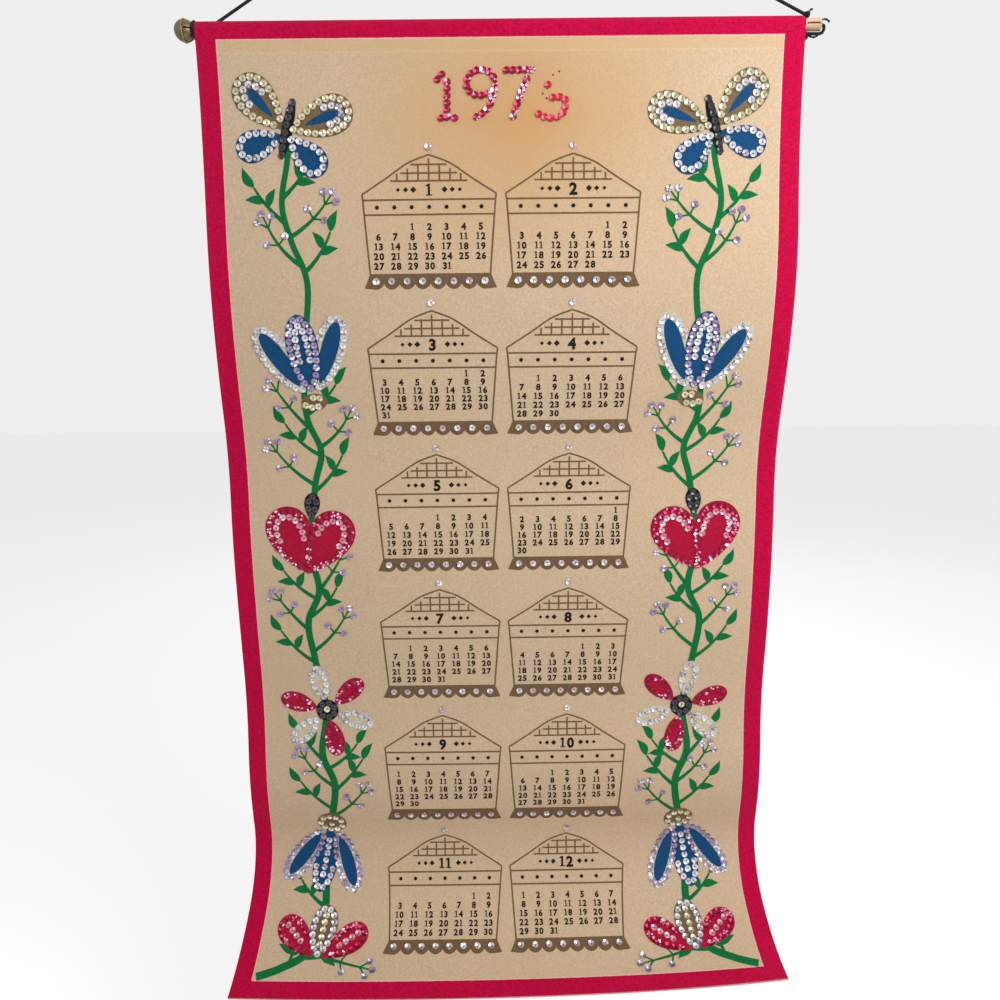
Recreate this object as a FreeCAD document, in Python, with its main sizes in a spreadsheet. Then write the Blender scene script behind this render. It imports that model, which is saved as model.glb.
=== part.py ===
import FreeCAD, Part
import Sketcher
import math
import os
from FreeCAD import Rotation, Vector

# A cloth wall calendar: one sheet of printed craft felt folded over a wooden dowel and trimmed with sequins.
# The dowel hangs from a nail by a black cord. A small brass bell caps its left end.
# Millimetres. The nail is at the origin, X runs to the viewer's right, Y into the wall and Z up.

SIZES = {
    "felt_width": 420.0,
    "felt_drop": 753.0,
    "felt_thick": 1.5,
    "hem_depth": 25.0,
    "corner_round": 4.0,
    "dowel_dia": 8.0,
    "dowel_left_out": 5.0,
    "dowel_right_out": 11.5,
    "sleeve_gap": 0.1,
    "kerf_width": 1.2,
    "kerf_depth": 10.0,
    "hang_height": 112.0,
    "nail_off_centre": 12.0,
    "nail_dia": 4.0,
    "cord_dia": 2.4,
    "tie_gap": 0.15,
    "knot_dia": 3.8,
    "bell_dia": 14.6,
    "bell_wall": 0.6,
    "bell_ridge": 0.5,
    "bell_slot": 1.3,
    "pellet_dia": 3.2,
    "sequin_dia": 5.0,
    "sequin_height": 0.9,
    "sequin_pitch": 5.3,
    "sequin_inset": 0.4,
    "glue_gap": 0.1,
    "band_centre": 147.0,
    "panel_left": -50.5,
    "panel_right": 50.9,
    "panel_top": 88.0,
    "foot_row_drop": 91.8,
    "foot_row_gap": 11.1,
    "foot_margin": 38.2,
    "figure_unit": 1.0,
    "year_height": 31.3,
    "year_width": 38.0,
    "year_top": 37.8,
}

# How far the cloth leans from plumb at twelve even steps down its length, in degrees, forward positive:
# along its middle, what one side adds and the other takes off, and what both sides add.
LEAN_MIDDLE = [-4, 7, 6, -5, -11, 1.5, 0, -2.5, 9, -10, 48, 75]
LEAN_SIDE = [0, 0.5, 2, -2, -3, 0.5, 1, -1, 0.5, -1, 3.5, 8]
LEAN_EDGES = [0, -4, 1, 0, -0.5, 3.5, -1, -2, -0.5, 0.5, 8, 8]

STEP = 3.0
SECTIONS = 9
SECTION_POINTS = 38
HEXAGON = 6
FOOT_SEQUINS = 8
ROWS = 6
PETAL_POINTS = 72
# How far down the hem the rod pocket reaches, the share of its run that a cord's bend takes, and how near
# two sequins' centres may come, in diameters.
POCKET_SHARE = 0.8
RUN_SHARE = 0.45
LEAST_APART = 0.92

# Each flower or winged figure of the print, as petals from a common centre, in figure units. A figure has
# its place, outward from the side band's centre line and down the cloth, then its turn. A petal has its
# root, the way it points, its length, its width, how full its tip is and its sequins' colour.
FIGURES = [
    (2, 74, -14, [
        (-2, 2, -56, 47, 28, 0.9, "gold"), (2, 2, 56, 47, 28, 0.9, "gold"),
        (-2, 6, -122, 35, 22, 0.9, "pearl"), (2, 6, 122, 35, 22, 0.9, "pearl"),
        (0, 22, 0, 42, 8, 0, "black")]),
    (-2, 232, 8, [
        (-5, 26, -27, 58, 24, 0.3, "pearl"), (5, 26, 27, 58, 24, 0.3, "pearl"),
        (0, 26, 0, 56, 24, 0.3, "lilac"), (0, 28, 180, 13, 20, 0, "gold")]),
    (3, 372, -6, [
        (0, 28, -27, 56, 35, 1.0, "ruby"), (0, 28, 27, 56, 35, 1.0, "ruby"),
        (0, -16, 0, 20, 12, 0.5, "black")]),
    (-3, 516, 12, [
        (0, -9, 0, 30, 16, 0.4, "pearl"), (8, -4, 60, 30, 16, 0.4, "ruby"),
        (8, 5, 120, 30, 16, 0.4, "pearl"), (0, 9, 180, 30, 16, 0.4, "ruby"),
        (-8, 5, 240, 30, 16, 0.4, "pearl"), (-8, -4, 300, 30, 16, 0.4, "ruby"),
        (0, 9, 0, 18, 18, 0, "black")]),
    (2, 642, -10, [
        (-5, -20, 208, 54, 22, 0.3, "lilac"), (5, -20, 152, 54, 22, 0.3, "lilac"),
        (0, -20, 180, 52, 20, 0.3, "pearl"), (0, -18, 0, 18, 24, 0, "gold")]),
    (1, 709, -6, [
        (-4, 13, -50, 40, 22, 0.8, "ruby"), (4, 13, 50, 40, 22, 0.8, "ruby"),
        (0, 14, 0, 40, 22, 0.4, "pearl")]),
]

# The year's digits as runs of points on a unit grid, left to right and top to bottom. Most of the last
# digit's upper half was lost, and one sequin of it stands alone.
YEAR_RUNS = [
    [(-1.14, 0.18), (-1.05, 0.07), (-0.96, 0.04), (-0.97, 0.98)], [(-1.08, 1.0), (-0.83, 1.0)],
    [(-0.22, 0.49), (-0.36, 0.53), (-0.5, 0.5), (-0.6, 0.38), (-0.61, 0.24), (-0.57, 0.1), (-0.46, 0.0),
     (-0.33, -0.02), (-0.2, 0.02), (-0.11, 0.14), (-0.09, 0.3), (-0.12, 0.5), (-0.17, 0.7), (-0.27, 0.87),
     (-0.43, 0.98)],
    [(0.12, 0.0), (0.62, -0.01), (0.5, 0.17), (0.4, 0.42), (0.32, 0.7), (0.24, 0.98)],
    [(0.97, 0.58), (1.1, 0.57), (1.2, 0.63), (1.21, 0.76), (1.17, 0.9), (1.06, 1.0), (0.93, 1.02),
     (0.82, 1.0), (0.71, 0.93)],
]
YEAR_STRAY = (0.88, 0.31)

doc = FreeCAD.newDocument("wall_calendar")
sheet = doc.addObject("Spreadsheet::Sheet", "sizes")
for row, (name, value) in enumerate(SIZES.items(), 1):
    sheet.set(f"A{row}", name)
    sheet.set(f"B{row}", str(value))
    sheet.setAlias(f"B{row}", name)
doc.recompute()


def size(name):
    """A driving dimension, read back from the sheet."""
    return float(sheet.get(name))


SHIFT = size("nail_off_centre")
AXIS_Z = -size("hang_height")
HALF = size("felt_width") / 2
DOWEL_R = size("dowel_dia") / 2
SLEEVE_R = DOWEL_R + size("sleeve_gap")
FACE_R = SLEEVE_R + size("felt_thick")
CORD_R = size("cord_dia") / 2
FACE_ARC = FACE_R * math.radians(90 - LEAN_MIDDLE[0])


def at_station(values, down):
    """A value between the even steps down the cloth."""
    place = min(max(down / size("felt_drop"), 0), 1) * (len(values) - 1)
    k = min(int(place), len(values) - 2)
    return values[k] + (values[k + 1] - values[k]) * (place - k)


def lean(across, down):
    """The cloth's lean at a place on it, in radians."""
    side = across / HALF
    return math.radians(at_station(LEAN_MIDDLE, down) + side * at_station(LEAN_SIDE, down)
                        + side * side * at_station(LEAN_EDGES, down))


def on_face(across, down):
    """The point of the cloth's printed face at a distance across and down it, and the way the face looks."""
    turned = min(down, FACE_ARC) / FACE_R
    y, z = -FACE_R * math.sin(turned), FACE_R * math.cos(turned)
    if down <= FACE_ARC:
        return Vector(SHIFT + across, y, AXIS_Z + z), Vector(0, -math.sin(turned), math.cos(turned))
    steps = max(1, math.ceil((down - FACE_ARC) / STEP))
    part = (down - FACE_ARC) / steps
    for k in range(steps):
        angle = lean(across, FACE_ARC + (k + 0.5) * part)
        y -= part * math.sin(angle)
        z -= part * math.cos(angle)
    angle = lean(across, down)
    return Vector(SHIFT + across, y, AXIS_Z + z), Vector(0, -math.cos(angle), math.sin(angle))


def add_piece(shape, label):
    """A sub-part whose shape is worked out here."""
    piece = doc.addObject("Part::Feature", label)
    piece.Shape = shape
    piece.Label = label
    return piece


def hem_line(across, radius, layers):
    """The straight back of the rod pocket: its top on a circle round the dowel and its foot on the cloth."""
    point, out = on_face(across, size("hem_depth"))
    foot = point - out * (layers * size("felt_thick"))
    y, z = foot.y, foot.z - AXIS_Z
    reach = math.hypot(y, z)
    angle = math.atan2(z, y) + math.acos(radius / reach)
    return Vector(foot.x, radius * math.cos(angle), AXIS_Z + radius * math.sin(angle)), foot


def arc_over_top(x, back, radius):
    """The round of the fold over the dowel, from its back to where the front layer begins."""
    front = math.radians(90 - LEAN_MIDDLE[0])
    middle = Vector(x, 0, AXIS_Z + radius)
    end = Vector(x, -radius * math.sin(front), AXIS_Z + radius * math.cos(front))
    return Part.Arc(back, middle, end).toShape(), end


def felt_section(across):
    """The cloth cut from front to back: one layer below, two glued layers at the hem and the fold."""
    pitch = (size("felt_drop") - FACE_ARC) / (SECTION_POINTS - 1)
    downs = [FACE_ARC + pitch * k for k in range(SECTION_POINTS)]
    faces = [on_face(across, down) for down in downs]
    below = [size("hem_depth")] + [down for down in downs if down > size("hem_depth") + STEP]
    backs = [on_face(across, down) for down in below]
    front = Part.BSplineCurve()
    front.interpolate(Points=[point for point, _ in faces], Parameters=downs)
    back = Part.BSplineCurve()
    back.interpolate(Points=[point - out * size("felt_thick") for point, out in reversed(backs)],
                     Parameters=[size("felt_drop") - down for down in reversed(below)])
    top_back, foot = hem_line(across, FACE_R, 2)
    arc, _ = arc_over_top(foot.x, top_back, FACE_R)
    return Part.Wire([
        arc, front.toShape(), Part.LineSegment(front.EndPoint, back.StartPoint).toShape(), back.toShape(),
        Part.LineSegment(back.EndPoint, foot).toShape(), Part.LineSegment(foot, top_back).toShape()])


def rod_pocket():
    """The space inside the hem that the dowel passes through."""
    start = SHIFT - HALF - 1
    back, _ = hem_line(0, FACE_R, 2)
    around = back - Vector(back.x, 0, AXIS_Z)
    inner_back = Vector(start, 0, AXIS_Z) + around * (SLEEVE_R / FACE_R)
    arc, front = arc_over_top(start, inner_back, SLEEVE_R)
    point, out = on_face(0, size("hem_depth") * POCKET_SHARE)
    meet = point - out * size("felt_thick")
    meet.x = start
    sides = [Part.LineSegment(front, meet).toShape(), Part.LineSegment(meet, inner_back).toShape()]
    return Part.Face(Part.Wire([arc] + sides)).extrude(Vector(2 * HALF + 2, 0, 0))


def corner_trim():
    """What the worn round corner at the top right lacks."""
    radius = size("corner_round")
    corner = Vector(SHIFT + HALF - radius, -2 * FACE_R, AXIS_Z + FACE_R - radius)
    block = Part.makeBox(2 * radius, 4 * FACE_R, 2 * radius, corner)
    return block.cut(Part.makeCylinder(radius, 4 * FACE_R, corner, Vector(0, 1, 0)))


def make_felt():
    """The printed sheet with its hem."""
    sections = [felt_section(-HALF + 2 * HALF * k / (SECTIONS - 1)) for k in range(SECTIONS)]
    cloth = Part.makeLoft(sections, True, False)
    return add_piece(cloth.cut(rod_pocket()).cut(corner_trim()), "felt_panel")


def rectangle(sketch, x, z, width, height):
    """A rectangle in a sketch from its lower left corner."""
    corners = [Vector(x, z), Vector(x + width, z), Vector(x + width, z + height), Vector(x, z + height)]
    for k, corner in enumerate(corners):
        sketch.addGeometry(Part.LineSegment(corner, corners[(k + 1) % 4]), False)


def make_dowel():
    """The turned rod, sawn at both ends for the cord."""
    body = doc.addObject("PartDesign::Body", "dowel")
    planes = {feature.Role: feature for feature in body.Origin.OriginFeatures}
    section = body.newObject("Sketcher::SketchObject", "dowel_section")
    section.AttachmentSupport = [(planes["YZ_Plane"], "")]
    section.MapMode = "FlatFace"
    section.addGeometry(Part.Circle(Vector(), Vector(0, 0, 1), DOWEL_R), False)
    radius = section.addConstraint(Sketcher.Constraint("Radius", 0, DOWEL_R))
    section.setExpression(f"Constraints[{radius}]", "sizes.dowel_dia / 2")
    rod = body.newObject("PartDesign::Pad", "dowel_length")
    rod.Profile = section
    rod.setExpression("Length", "sizes.felt_width + sizes.dowel_left_out + sizes.dowel_right_out")
    length = size("felt_width") + size("dowel_left_out") + size("dowel_right_out")
    kerfs = body.newObject("Sketcher::SketchObject", "kerf_outline")
    kerfs.AttachmentSupport = [(planes["XZ_Plane"], "")]
    kerfs.MapMode = "FlatFace"
    depth, width = size("kerf_depth"), size("kerf_width")
    rectangle(kerfs, -1, -width / 2, depth + 1, width)
    rectangle(kerfs, length - depth, -width / 2, depth + 1, width)
    cut = body.newObject("PartDesign::Pocket", "saw_kerfs")
    cut.Profile = kerfs
    cut.Type = "ThroughAll"
    cut.Midplane = True
    body.Tip = cut
    body.Placement.Base = Vector(SHIFT - HALF - size("dowel_left_out"), 0, AXIS_Z)
    return body


TIE_LEFT = SHIFT - HALF - CORD_R - size("tie_gap")
TIE_RIGHT = SHIFT + HALF + CORD_R + size("tie_gap")
TIE_R = DOWEL_R + CORD_R + size("tie_gap") / 3
BELL_R = size("bell_dia") / 2
BELL_X = TIE_LEFT - math.sqrt((BELL_R + CORD_R + size("tie_gap")) ** 2 - TIE_R ** 2)


def primitive(kind, label, **sizes):
    """A plain solid whose sizes follow the sheet."""
    solid = doc.addObject(kind, label)
    for name, expression in sizes.items():
        solid.setExpression(name, expression)
    return solid


def boolean(kind, label, base, tool):
    """Two solids joined or cut."""
    made = doc.addObject(kind, label)
    made.Base = base
    made.Tool = tool
    return made


def make_bell():
    """The hollow bell: two halves with a rolled ridge, gripped on the dowel by its slotted mouth."""
    centre = Vector(BELL_X, 0, AXIS_Z)
    along = Rotation(Vector(0, 1, 0), 90)
    ball = primitive("Part::Sphere", "bell_ball", Radius="sizes.bell_dia / 2")
    ball.Placement.Base = centre
    ridge = primitive("Part::Cylinder", "bell_ridge_disc", Radius="sizes.bell_dia / 2 + sizes.bell_ridge",
                      Height="2 * sizes.bell_ridge")
    ridge.Placement = FreeCAD.Placement(centre - Vector(size("bell_ridge"), 0, 0), along)
    hollow = primitive("Part::Sphere", "bell_hollow", Radius="sizes.bell_dia / 2 - sizes.bell_wall")
    hollow.Placement.Base = centre
    mouth = primitive("Part::Cylinder", "bell_mouth", Radius="sizes.dowel_dia / 2 + sizes.sleeve_gap / 2",
                      Height="sizes.bell_dia")
    mouth.Placement = FreeCAD.Placement(centre, along)
    shell = boolean("Part::Fuse", "bell_body", ball, ridge)
    shell = boolean("Part::Cut", "bell_cup", shell, hollow)
    shell = boolean("Part::Cut", "bell_open", shell, mouth)
    start = size("bell_ridge") + size("bell_wall")
    for name, turn in (("upright", 0), ("level", 90)):
        slot = primitive("Part::Box", f"bell_slot_{name}", Length="sizes.bell_dia", Width="sizes.bell_slot",
                         Height="sizes.bell_dia + 4 * sizes.bell_ridge")
        offset = Vector(start, -size("bell_slot") / 2, -BELL_R - 2 * size("bell_ridge"))
        turned = Rotation(Vector(1, 0, 0), turn)
        slot.Placement = FreeCAD.Placement(centre + turned.multVec(offset), turned)
        shell = boolean("Part::Cut", f"bell_cut_{name}", shell, slot)
    shell.Label = "bell_shell"
    pellet = primitive("Part::Sphere", "bell_pellet", Radius="sizes.pellet_dia / 2")
    rest = BELL_R - size("bell_wall") - size("pellet_dia") / 2 - size("sleeve_gap") / 2
    pellet.Placement.Base = centre - Vector(0, 0, rest)
    return [shell, pellet]


def tube(points, radius, arcs=None):
    """A round cord along straight runs joined by tangent arcs, as large as the runs allow unless given."""
    edges, start = [], points[0]
    for k in range(1, len(points) - 1):
        before, after = points[k] - points[k - 1], points[k + 1] - points[k]
        half_turn = before.getAngle(after) / 2
        trim = RUN_SHARE * min(before.Length, after.Length)
        if arcs:
            trim = min(trim, arcs * math.tan(half_turn))
        print("cord bend radius", round(trim / math.tan(half_turn), 2))
        first = points[k] - before * (trim / before.Length)
        last = points[k] + after * (trim / after.Length)
        inward = (after * (1 / after.Length) - before * (1 / before.Length)).normalize()
        bend = trim / math.tan(half_turn)
        centre = points[k] + inward * (bend / math.cos(half_turn))
        edges.append(Part.LineSegment(start, first).toShape())
        edges.append(Part.Arc(first, centre - inward * bend, last).toShape())
        start = last
    edges.append(Part.LineSegment(start, points[-1]).toShape())
    path = Part.Wire(edges)
    way = points[1] - points[0]
    ring = Part.Wire(Part.makeCircle(radius, points[0], way))
    made = path.makePipeShell([ring], True, False)
    share = made.Volume / (math.pi * radius ** 2 * path.Length)
    print("cord length", round(path.Length, 1), "volume ratio", round(share, 4))
    return made


# The cord's route, from the knot behind the dowel's left end over the nail to the knot on top of its right
# end, its loop round that end and the knot below it.
KNOT_OUT = FACE_R + size("knot_dia") / 2 + 0.4
KNOT_LEFT = Vector(TIE_LEFT, KNOT_OUT, AXIS_Z)
KNOT_RIGHT = Vector(TIE_RIGHT + 0.6, 0, AXIS_Z + TIE_R + 0.8)
KNOT_BELOW = Vector(TIE_RIGHT + 0.6, 0.5, AXIS_Z - TIE_R - 1)
NAIL_BEND = size("nail_dia") / 2 + CORD_R
NAIL_CORNER = Vector(0, 0, CORD_R + 0.5)
DOWEL_END = SHIFT + HALF + size("dowel_right_out")
END_LOOP = [
    Vector(DOWEL_END + 0.3, 0, AXIS_Z),
    Vector(DOWEL_END + 3.2, 0, AXIS_Z - 0.6),
    Vector(DOWEL_END + 2.2, 0.3, AXIS_Z - TIE_R - 0.5),
    Vector(TIE_RIGHT + 0.5, 1.0, AXIS_Z - TIE_R - 0.1),
]


def make_cords():
    """The hanging cord and how its two ends are tied to the dowel."""
    knot_r = size("knot_dia") / 2
    ring = Part.makeTorus(TIE_R, CORD_R, Vector(TIE_LEFT, 0, AXIS_Z), Vector(1, 0, 0))
    left = ring.fuse(Part.makeSphere(knot_r, KNOT_LEFT))
    behind = ring.copy()
    behind.translate(Vector(TIE_RIGHT - TIE_LEFT, 0, 0))
    corner = Vector(TIE_RIGHT - 2 * CORD_R, 0, AXIS_Z - 2 * FACE_R)
    rear = Part.makeBox(4 * CORD_R, 3 * FACE_R, 4 * FACE_R, corner)
    right = behind.common(rear).fuse(Part.makeSphere(knot_r, KNOT_RIGHT))
    right = right.fuse(Part.makeSphere(knot_r, KNOT_BELOW))
    right = right.fuse(tube(END_LOOP, CORD_R))
    line = tube([KNOT_LEFT, NAIL_CORNER, KNOT_RIGHT], CORD_R, NAIL_BEND)
    line = line.cut(left).cut(right)
    shapes = {"cord_tie_left": left, "cord_tie_right": right, "hanging_cord": line}
    return [add_piece(shape, label) for label, shape in shapes.items()]


def even_points(outline, pitch, closed):
    """Points a pitch apart, or a little more or less so that they come out even, along a run of points."""
    if closed:
        outline = outline + outline[:1]
    lengths = [math.dist(a, b) for a, b in zip(outline, outline[1:])]
    total = sum(lengths)
    count = max(1, round(total / pitch))
    made, walked, k = [], 0.0, 0
    for n in range(count if closed else count + 1):
        target = total * n / count
        while k < len(lengths) - 1 and walked + lengths[k] < target:
            walked += lengths[k]
            k += 1
        share = (target - walked) / lengths[k]
        made.append(tuple(a + (b - a) * share for a, b in zip(outline[k], outline[k + 1])))
    return made


def petal_outline(root, points_to, length, width, fullness, inset):
    """The closed outline of a petal, drawn in from its edge by an inset."""
    across_most = 2 * ((1 + fullness) / (2 + fullness)) ** ((1 + fullness) / 2) / math.sqrt(2 + fullness)
    angle = math.radians(points_to)
    outline = []
    for k in range(PETAL_POINTS):
        turn = math.pi * k / PETAL_POINTS
        along = inset + (length - 2 * inset) * math.sin(turn) ** 2
        out = (width / 2 - inset) * math.sin(2 * turn) * math.sin(turn) ** fullness / across_most
        outline.append((root[0] + along * math.sin(angle) + out * math.cos(angle),
                        root[1] - along * math.cos(angle) + out * math.sin(angle)))
    return outline


def figure_rows():
    """Where the sequins that edge the figures sit, by colour, for both sides of the cloth."""
    places = {}
    inset = size("sequin_dia") / 2 + size("sequin_inset")
    unit = size("figure_unit")
    for out, down, turn, petals in FIGURES:
        tilt = math.radians(turn)
        for x, y, points_to, length, width, fullness, colour in petals:
            root = (unit * (x * math.cos(tilt) - y * math.sin(tilt)),
                    unit * (x * math.sin(tilt) + y * math.cos(tilt)))
            outline = petal_outline(root, points_to + turn, unit * length, unit * width, fullness, inset)
            for across, below in even_points(outline, size("sequin_pitch"), True):
                for side in (-1, 1):
                    places.setdefault(colour, []).append(
                        (side * (size("band_centre") + unit * out + across), unit * down + below))
    return places


def panel_sequins():
    """The row on the foot of each month's panel and the one above its roof."""
    places = []
    last = size("felt_drop") - size("foot_margin") - size("foot_row_drop")
    for row in range(ROWS):
        top = size("panel_top") + (last - size("panel_top")) * row / (ROWS - 1)
        for middle in (size("panel_left"), size("panel_right")):
            places.append((middle, top))
            for k in range(FOOT_SEQUINS):
                across = middle + (k - (FOOT_SEQUINS - 1) / 2) * size("foot_row_gap")
                places.append((across, top + size("foot_row_drop")))
    return places


def year_sequins():
    """The year's digits in sequins."""
    tall, wide, top = size("year_height"), size("year_width"), size("year_top")
    places = []
    for run in YEAR_RUNS:
        line = [(x * wide, top + y * tall) for x, y in run]
        places += even_points(line, size("sequin_pitch"), False)
    x, y = YEAR_STRAY
    return places + [(x * wide, top + y * tall)]


def sequin_shape():
    """A cupped sequin as a low hexagonal cup whose rim looks out, its foot at the origin."""
    radius, height = size("sequin_dia") / 2, size("sequin_height")
    turns = [math.tau * k / HEXAGON for k in range(HEXAGON)]
    rim = [Vector(radius * math.cos(turn), radius * math.sin(turn), height) for turn in turns]
    faces = [Part.Face(Part.makePolygon(rim + rim[:1]))]
    for k in range(HEXAGON):
        faces.append(Part.Face(Part.makePolygon([Vector(), rim[k], rim[(k + 1) % HEXAGON], Vector()])))
    return Part.Solid(Part.Shell(faces))


def apart(places):
    """The places that keep clear of all earlier ones."""
    kept = []
    least = size("sequin_dia") * LEAST_APART
    for place in places:
        if all(math.dist(place, other) >= least for other in kept):
            kept.append(place)
    return kept


def make_sequins():
    """One node for each colour of sequin, a group of separate cups on the cloth."""
    groups = figure_rows()
    groups["crystal"] = panel_sequins()
    groups["ruby"] += year_sequins()
    taken, made = [], []
    cup = sequin_shape()
    for colour in sorted(groups):
        kept = apart(taken + groups[colour])[len(taken):]
        taken += kept
        cups = []
        for across, down in kept:
            point, out = on_face(across, down)
            one = cup.copy()
            one.Placement = FreeCAD.Placement(point + out * size("glue_gap"), Rotation(Vector(0, 0, 1), out))
            cups.append(one)
        print("sequins", colour, len(cups))
        made.append(add_piece(Part.makeCompound(cups), f"sequins_{colour}"))
    return made


pieces = [make_felt(), make_dowel()] + make_bell() + make_cords() + make_sequins()
doc.recompute()
for thing in doc.Objects:
    if "Invalid" in thing.State or "Error" in thing.State:
        raise RuntimeError(f"{thing.Label} did not build: {thing.State}")
os.makedirs("parts", exist_ok=True)
for piece in pieces:
    if piece.Shape.isNull() or not piece.Shape.isValid():
        raise RuntimeError(f"{piece.Label} has no valid shape")
    piece.Shape.exportStep(f"parts/{piece.Label}.step")
    print(piece.Label, len(piece.Shape.Solids), "solids", round(piece.Shape.Volume, 1), "cubic mm")
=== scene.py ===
import math
import random

import bmesh
import bpy
import numpy as np
from mathutils import Matrix, Vector


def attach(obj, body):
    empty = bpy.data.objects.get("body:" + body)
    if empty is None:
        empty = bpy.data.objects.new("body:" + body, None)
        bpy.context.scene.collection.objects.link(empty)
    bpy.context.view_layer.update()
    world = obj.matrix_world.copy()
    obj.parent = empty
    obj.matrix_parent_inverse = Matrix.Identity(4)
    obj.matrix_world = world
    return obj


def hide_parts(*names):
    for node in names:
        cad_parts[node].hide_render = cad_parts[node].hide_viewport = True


# A felt wall calendar with glued sequins, hanging from a nail by a black cord. Sizes are in millimetres, and
# a place on the cloth is across from its centre line and down from its fold. Finishes, the stage, the lamps
# and the camera are in metres.

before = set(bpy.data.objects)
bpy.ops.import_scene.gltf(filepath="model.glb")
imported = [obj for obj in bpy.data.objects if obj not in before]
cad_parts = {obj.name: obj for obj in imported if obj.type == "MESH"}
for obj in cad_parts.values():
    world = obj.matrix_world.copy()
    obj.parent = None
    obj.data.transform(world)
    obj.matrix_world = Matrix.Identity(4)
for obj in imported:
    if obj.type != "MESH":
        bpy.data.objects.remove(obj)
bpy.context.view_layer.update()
MM = 0.001
rng = random.Random(7)

# The cloth and what it hangs from
FELT_WIDTH, FELT_DROP, FELT_THICK, HEM_DEPTH = 420.0, 753.0, 1.5, 25.0
HALF = FELT_WIDTH / 2
CORNER_ROUND = 4.0
DOWEL_R, SLEEVE_GAP = 4.0, 0.1
FACE_R = DOWEL_R + SLEEVE_GAP + FELT_THICK
SHIFT, AXIS_Z = 12.0, -112.0
CORD_R = 1.2
BORDER_SIDE, BORDER_TOP, BORDER_FOOT = 14.1, 16.2, 13.0

# How far the cloth leans from plumb at twelve even steps down it, in degrees, forward positive
LEAN_MIDDLE = [-4, 7, 6, -5, -11, 1.5, 0, -2.5, 9, -10, 48, 75]
LEAN_SIDE = [0, 0.5, 2, -2, -3, 0.5, 1, -1, 0.5, -1, 3.5, 8]
LEAN_EDGES = [0, -4, 1, 0, -0.5, 3.5, -1, -2, -0.5, 0.5, 8, 8]
FACE_ARC = FACE_R * math.radians(90 - LEAN_MIDDLE[0])
COLUMNS, ROWS_DOWN = 85, 755
FELT_COLUMNS, FELT_ROWS = 105, 196
FOLD_STEPS, HEM_TURN_STEPS, HEM_STEPS = 16, 12, 8
WORN_EDGE = 0.35

# The camera that took the photograph, in metres and degrees
CAMERA_AT = (0.0127, -0.6055, -0.3272)
CAMERA_DOWN, CAMERA_LEFT, CAMERA_ROLL = 11.025, 0.285, -0.451
FOCAL_IN_WIDTHS = 0.7987

# Sequins: the row along a figure's edge lies in from it, each further ring a step more, and no centres
# come nearer to each other than LEAST_APART, or in the year than YEAR_APART
SEQUIN_R, SEQUIN_HEIGHT, SEQUIN_PITCH, GLUE_GAP = 2.5, 0.9, 5.3, 0.1
ROW_INSET, RING_STEP = SEQUIN_R + 0.4, 5.0
LEAST_APART = 2 * SEQUIN_R * 0.92

# Inside its rings a petal has a heart of another colour, where its half width leaves HEART_LEAST for one.
# Where it leaves less than NARROW for a ring, the ring is one line that starts ROOT_CLEAR further in.
HEART_INSET, HEART_LEAST, NARROW, ROOT_CLEAR = 2 * SEQUIN_R + 0.8, 1, 3.4, 2

# The year's own size and place
YEAR_HEIGHT, YEAR_WIDTH, YEAR_TOP, YEAR_PITCH = 31.3, 38.0, 37.8, 4.5
YEAR_APART = YEAR_PITCH * 0.8

# The side bands: where their middle runs, and how wide the stem, the shoots and the stalks are at each end
BAND_CENTRE = 147.0
STEM_WIDTHS, SHOOT_WIDTHS, STALK_WIDTHS = (6.4, 4.0), (3.4, 1.5), (1.5, 1.1)
SHOOT_STEPS = 8

# A shoot's leaves: which of its points they leave, their turn, length, width and curl
LEAVES = [(-1, 0, 16, 7.5, 0.18), (5, 52, 14, 7, -0.18), (4, -54, 14, 7, 0.18)]

# A leaf's outline: its steps, how far down its belly sits and how much it thins towards the tip
LEAF_STEPS, LEAF_BELLY, LEAF_TAPER = 12, 0.85, 0.35

# A spray's stalks: which of the shoot's points they leave, their turn and length
STALKS = [(-1, -42, 8.5), (-1, 0, 10.5), (-1, 40, 8.5), (5, -62, 8.0), (5, 64, 8.0)]

# The month panels. All that lies in one is down from its top.
PANEL_MIDDLES = (-50.5, 50.9)
PANEL_TOP, PANEL_PITCH, PANEL_ROWS = 88.0, 107.0, 6
PANEL_HALF, LINE_WIDTH = 47.4, 1.25
RIDGE, EAVE, BOARD_RULE, DOT_RULE, FOOT, SCALLOP_LINE = 5.5, 32.2, 36.0, 46.2, 87.2, 93.8
BOARD_IN, RULE_IN, FOOT_IN = 0.6, 1.6, 4.6

# The gable's bends, out from the middle and up from the eave, and the lattice under it: how far down each
# bar is and the width it is cut from, and where the rods between the bars begin under the ridge
GABLE_BENDS = ((30, 11), (15, 21))
LATTICE_FOOT, LATTICE_GAP = 9, 7.5
LATTICE_BARS, BAR_SHARE, BAR_SHORT = ((0.30, 17), (0.56, 25.5), (0.80, 34)), 0.86, 2
ROD_DROP, ROD_STEP = 2.5, 3.4
SCALLOP_STEPS, SCALLOP_DEPTH, SCALLOP_END, SCALLOP_ROUND = 8, 3.7, 2.8, 0.75
FOOT_TAPER, FOOT_OVER = 0.907, 0.6
FOOT_ROW_DROP, FOOT_ROW_GAP, FOOT_SEQUINS = 91.8, 11.1, 8
TITLE_DROP, TITLE_HEIGHT = 25.2, 8.2
DIAMOND_DROP, DIAMOND_OUT, DIAMOND_GAP, DIAMOND_REACH, DIAMOND_SHRINK = 29.2, 11, 5.4, 2.2, 0.35
DOT_DROP, DOT_GAP, DOT_R, DOT_SIDES, LOST_R, LOST_SIDES = 41.1, 12.3, 1.6, 6, 0.8, 7
DAY_GAP, DAY_HEIGHT = 12.1, 5.0
DAY_FIGURE = DAY_HEIGHT * 0.94
WEEKS_DROP, WEEK_GAP = 54.6, 6.7
SIX_WEEKS_DROP, SIX_WEEKS_GAP = 50.6, 6.2

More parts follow.
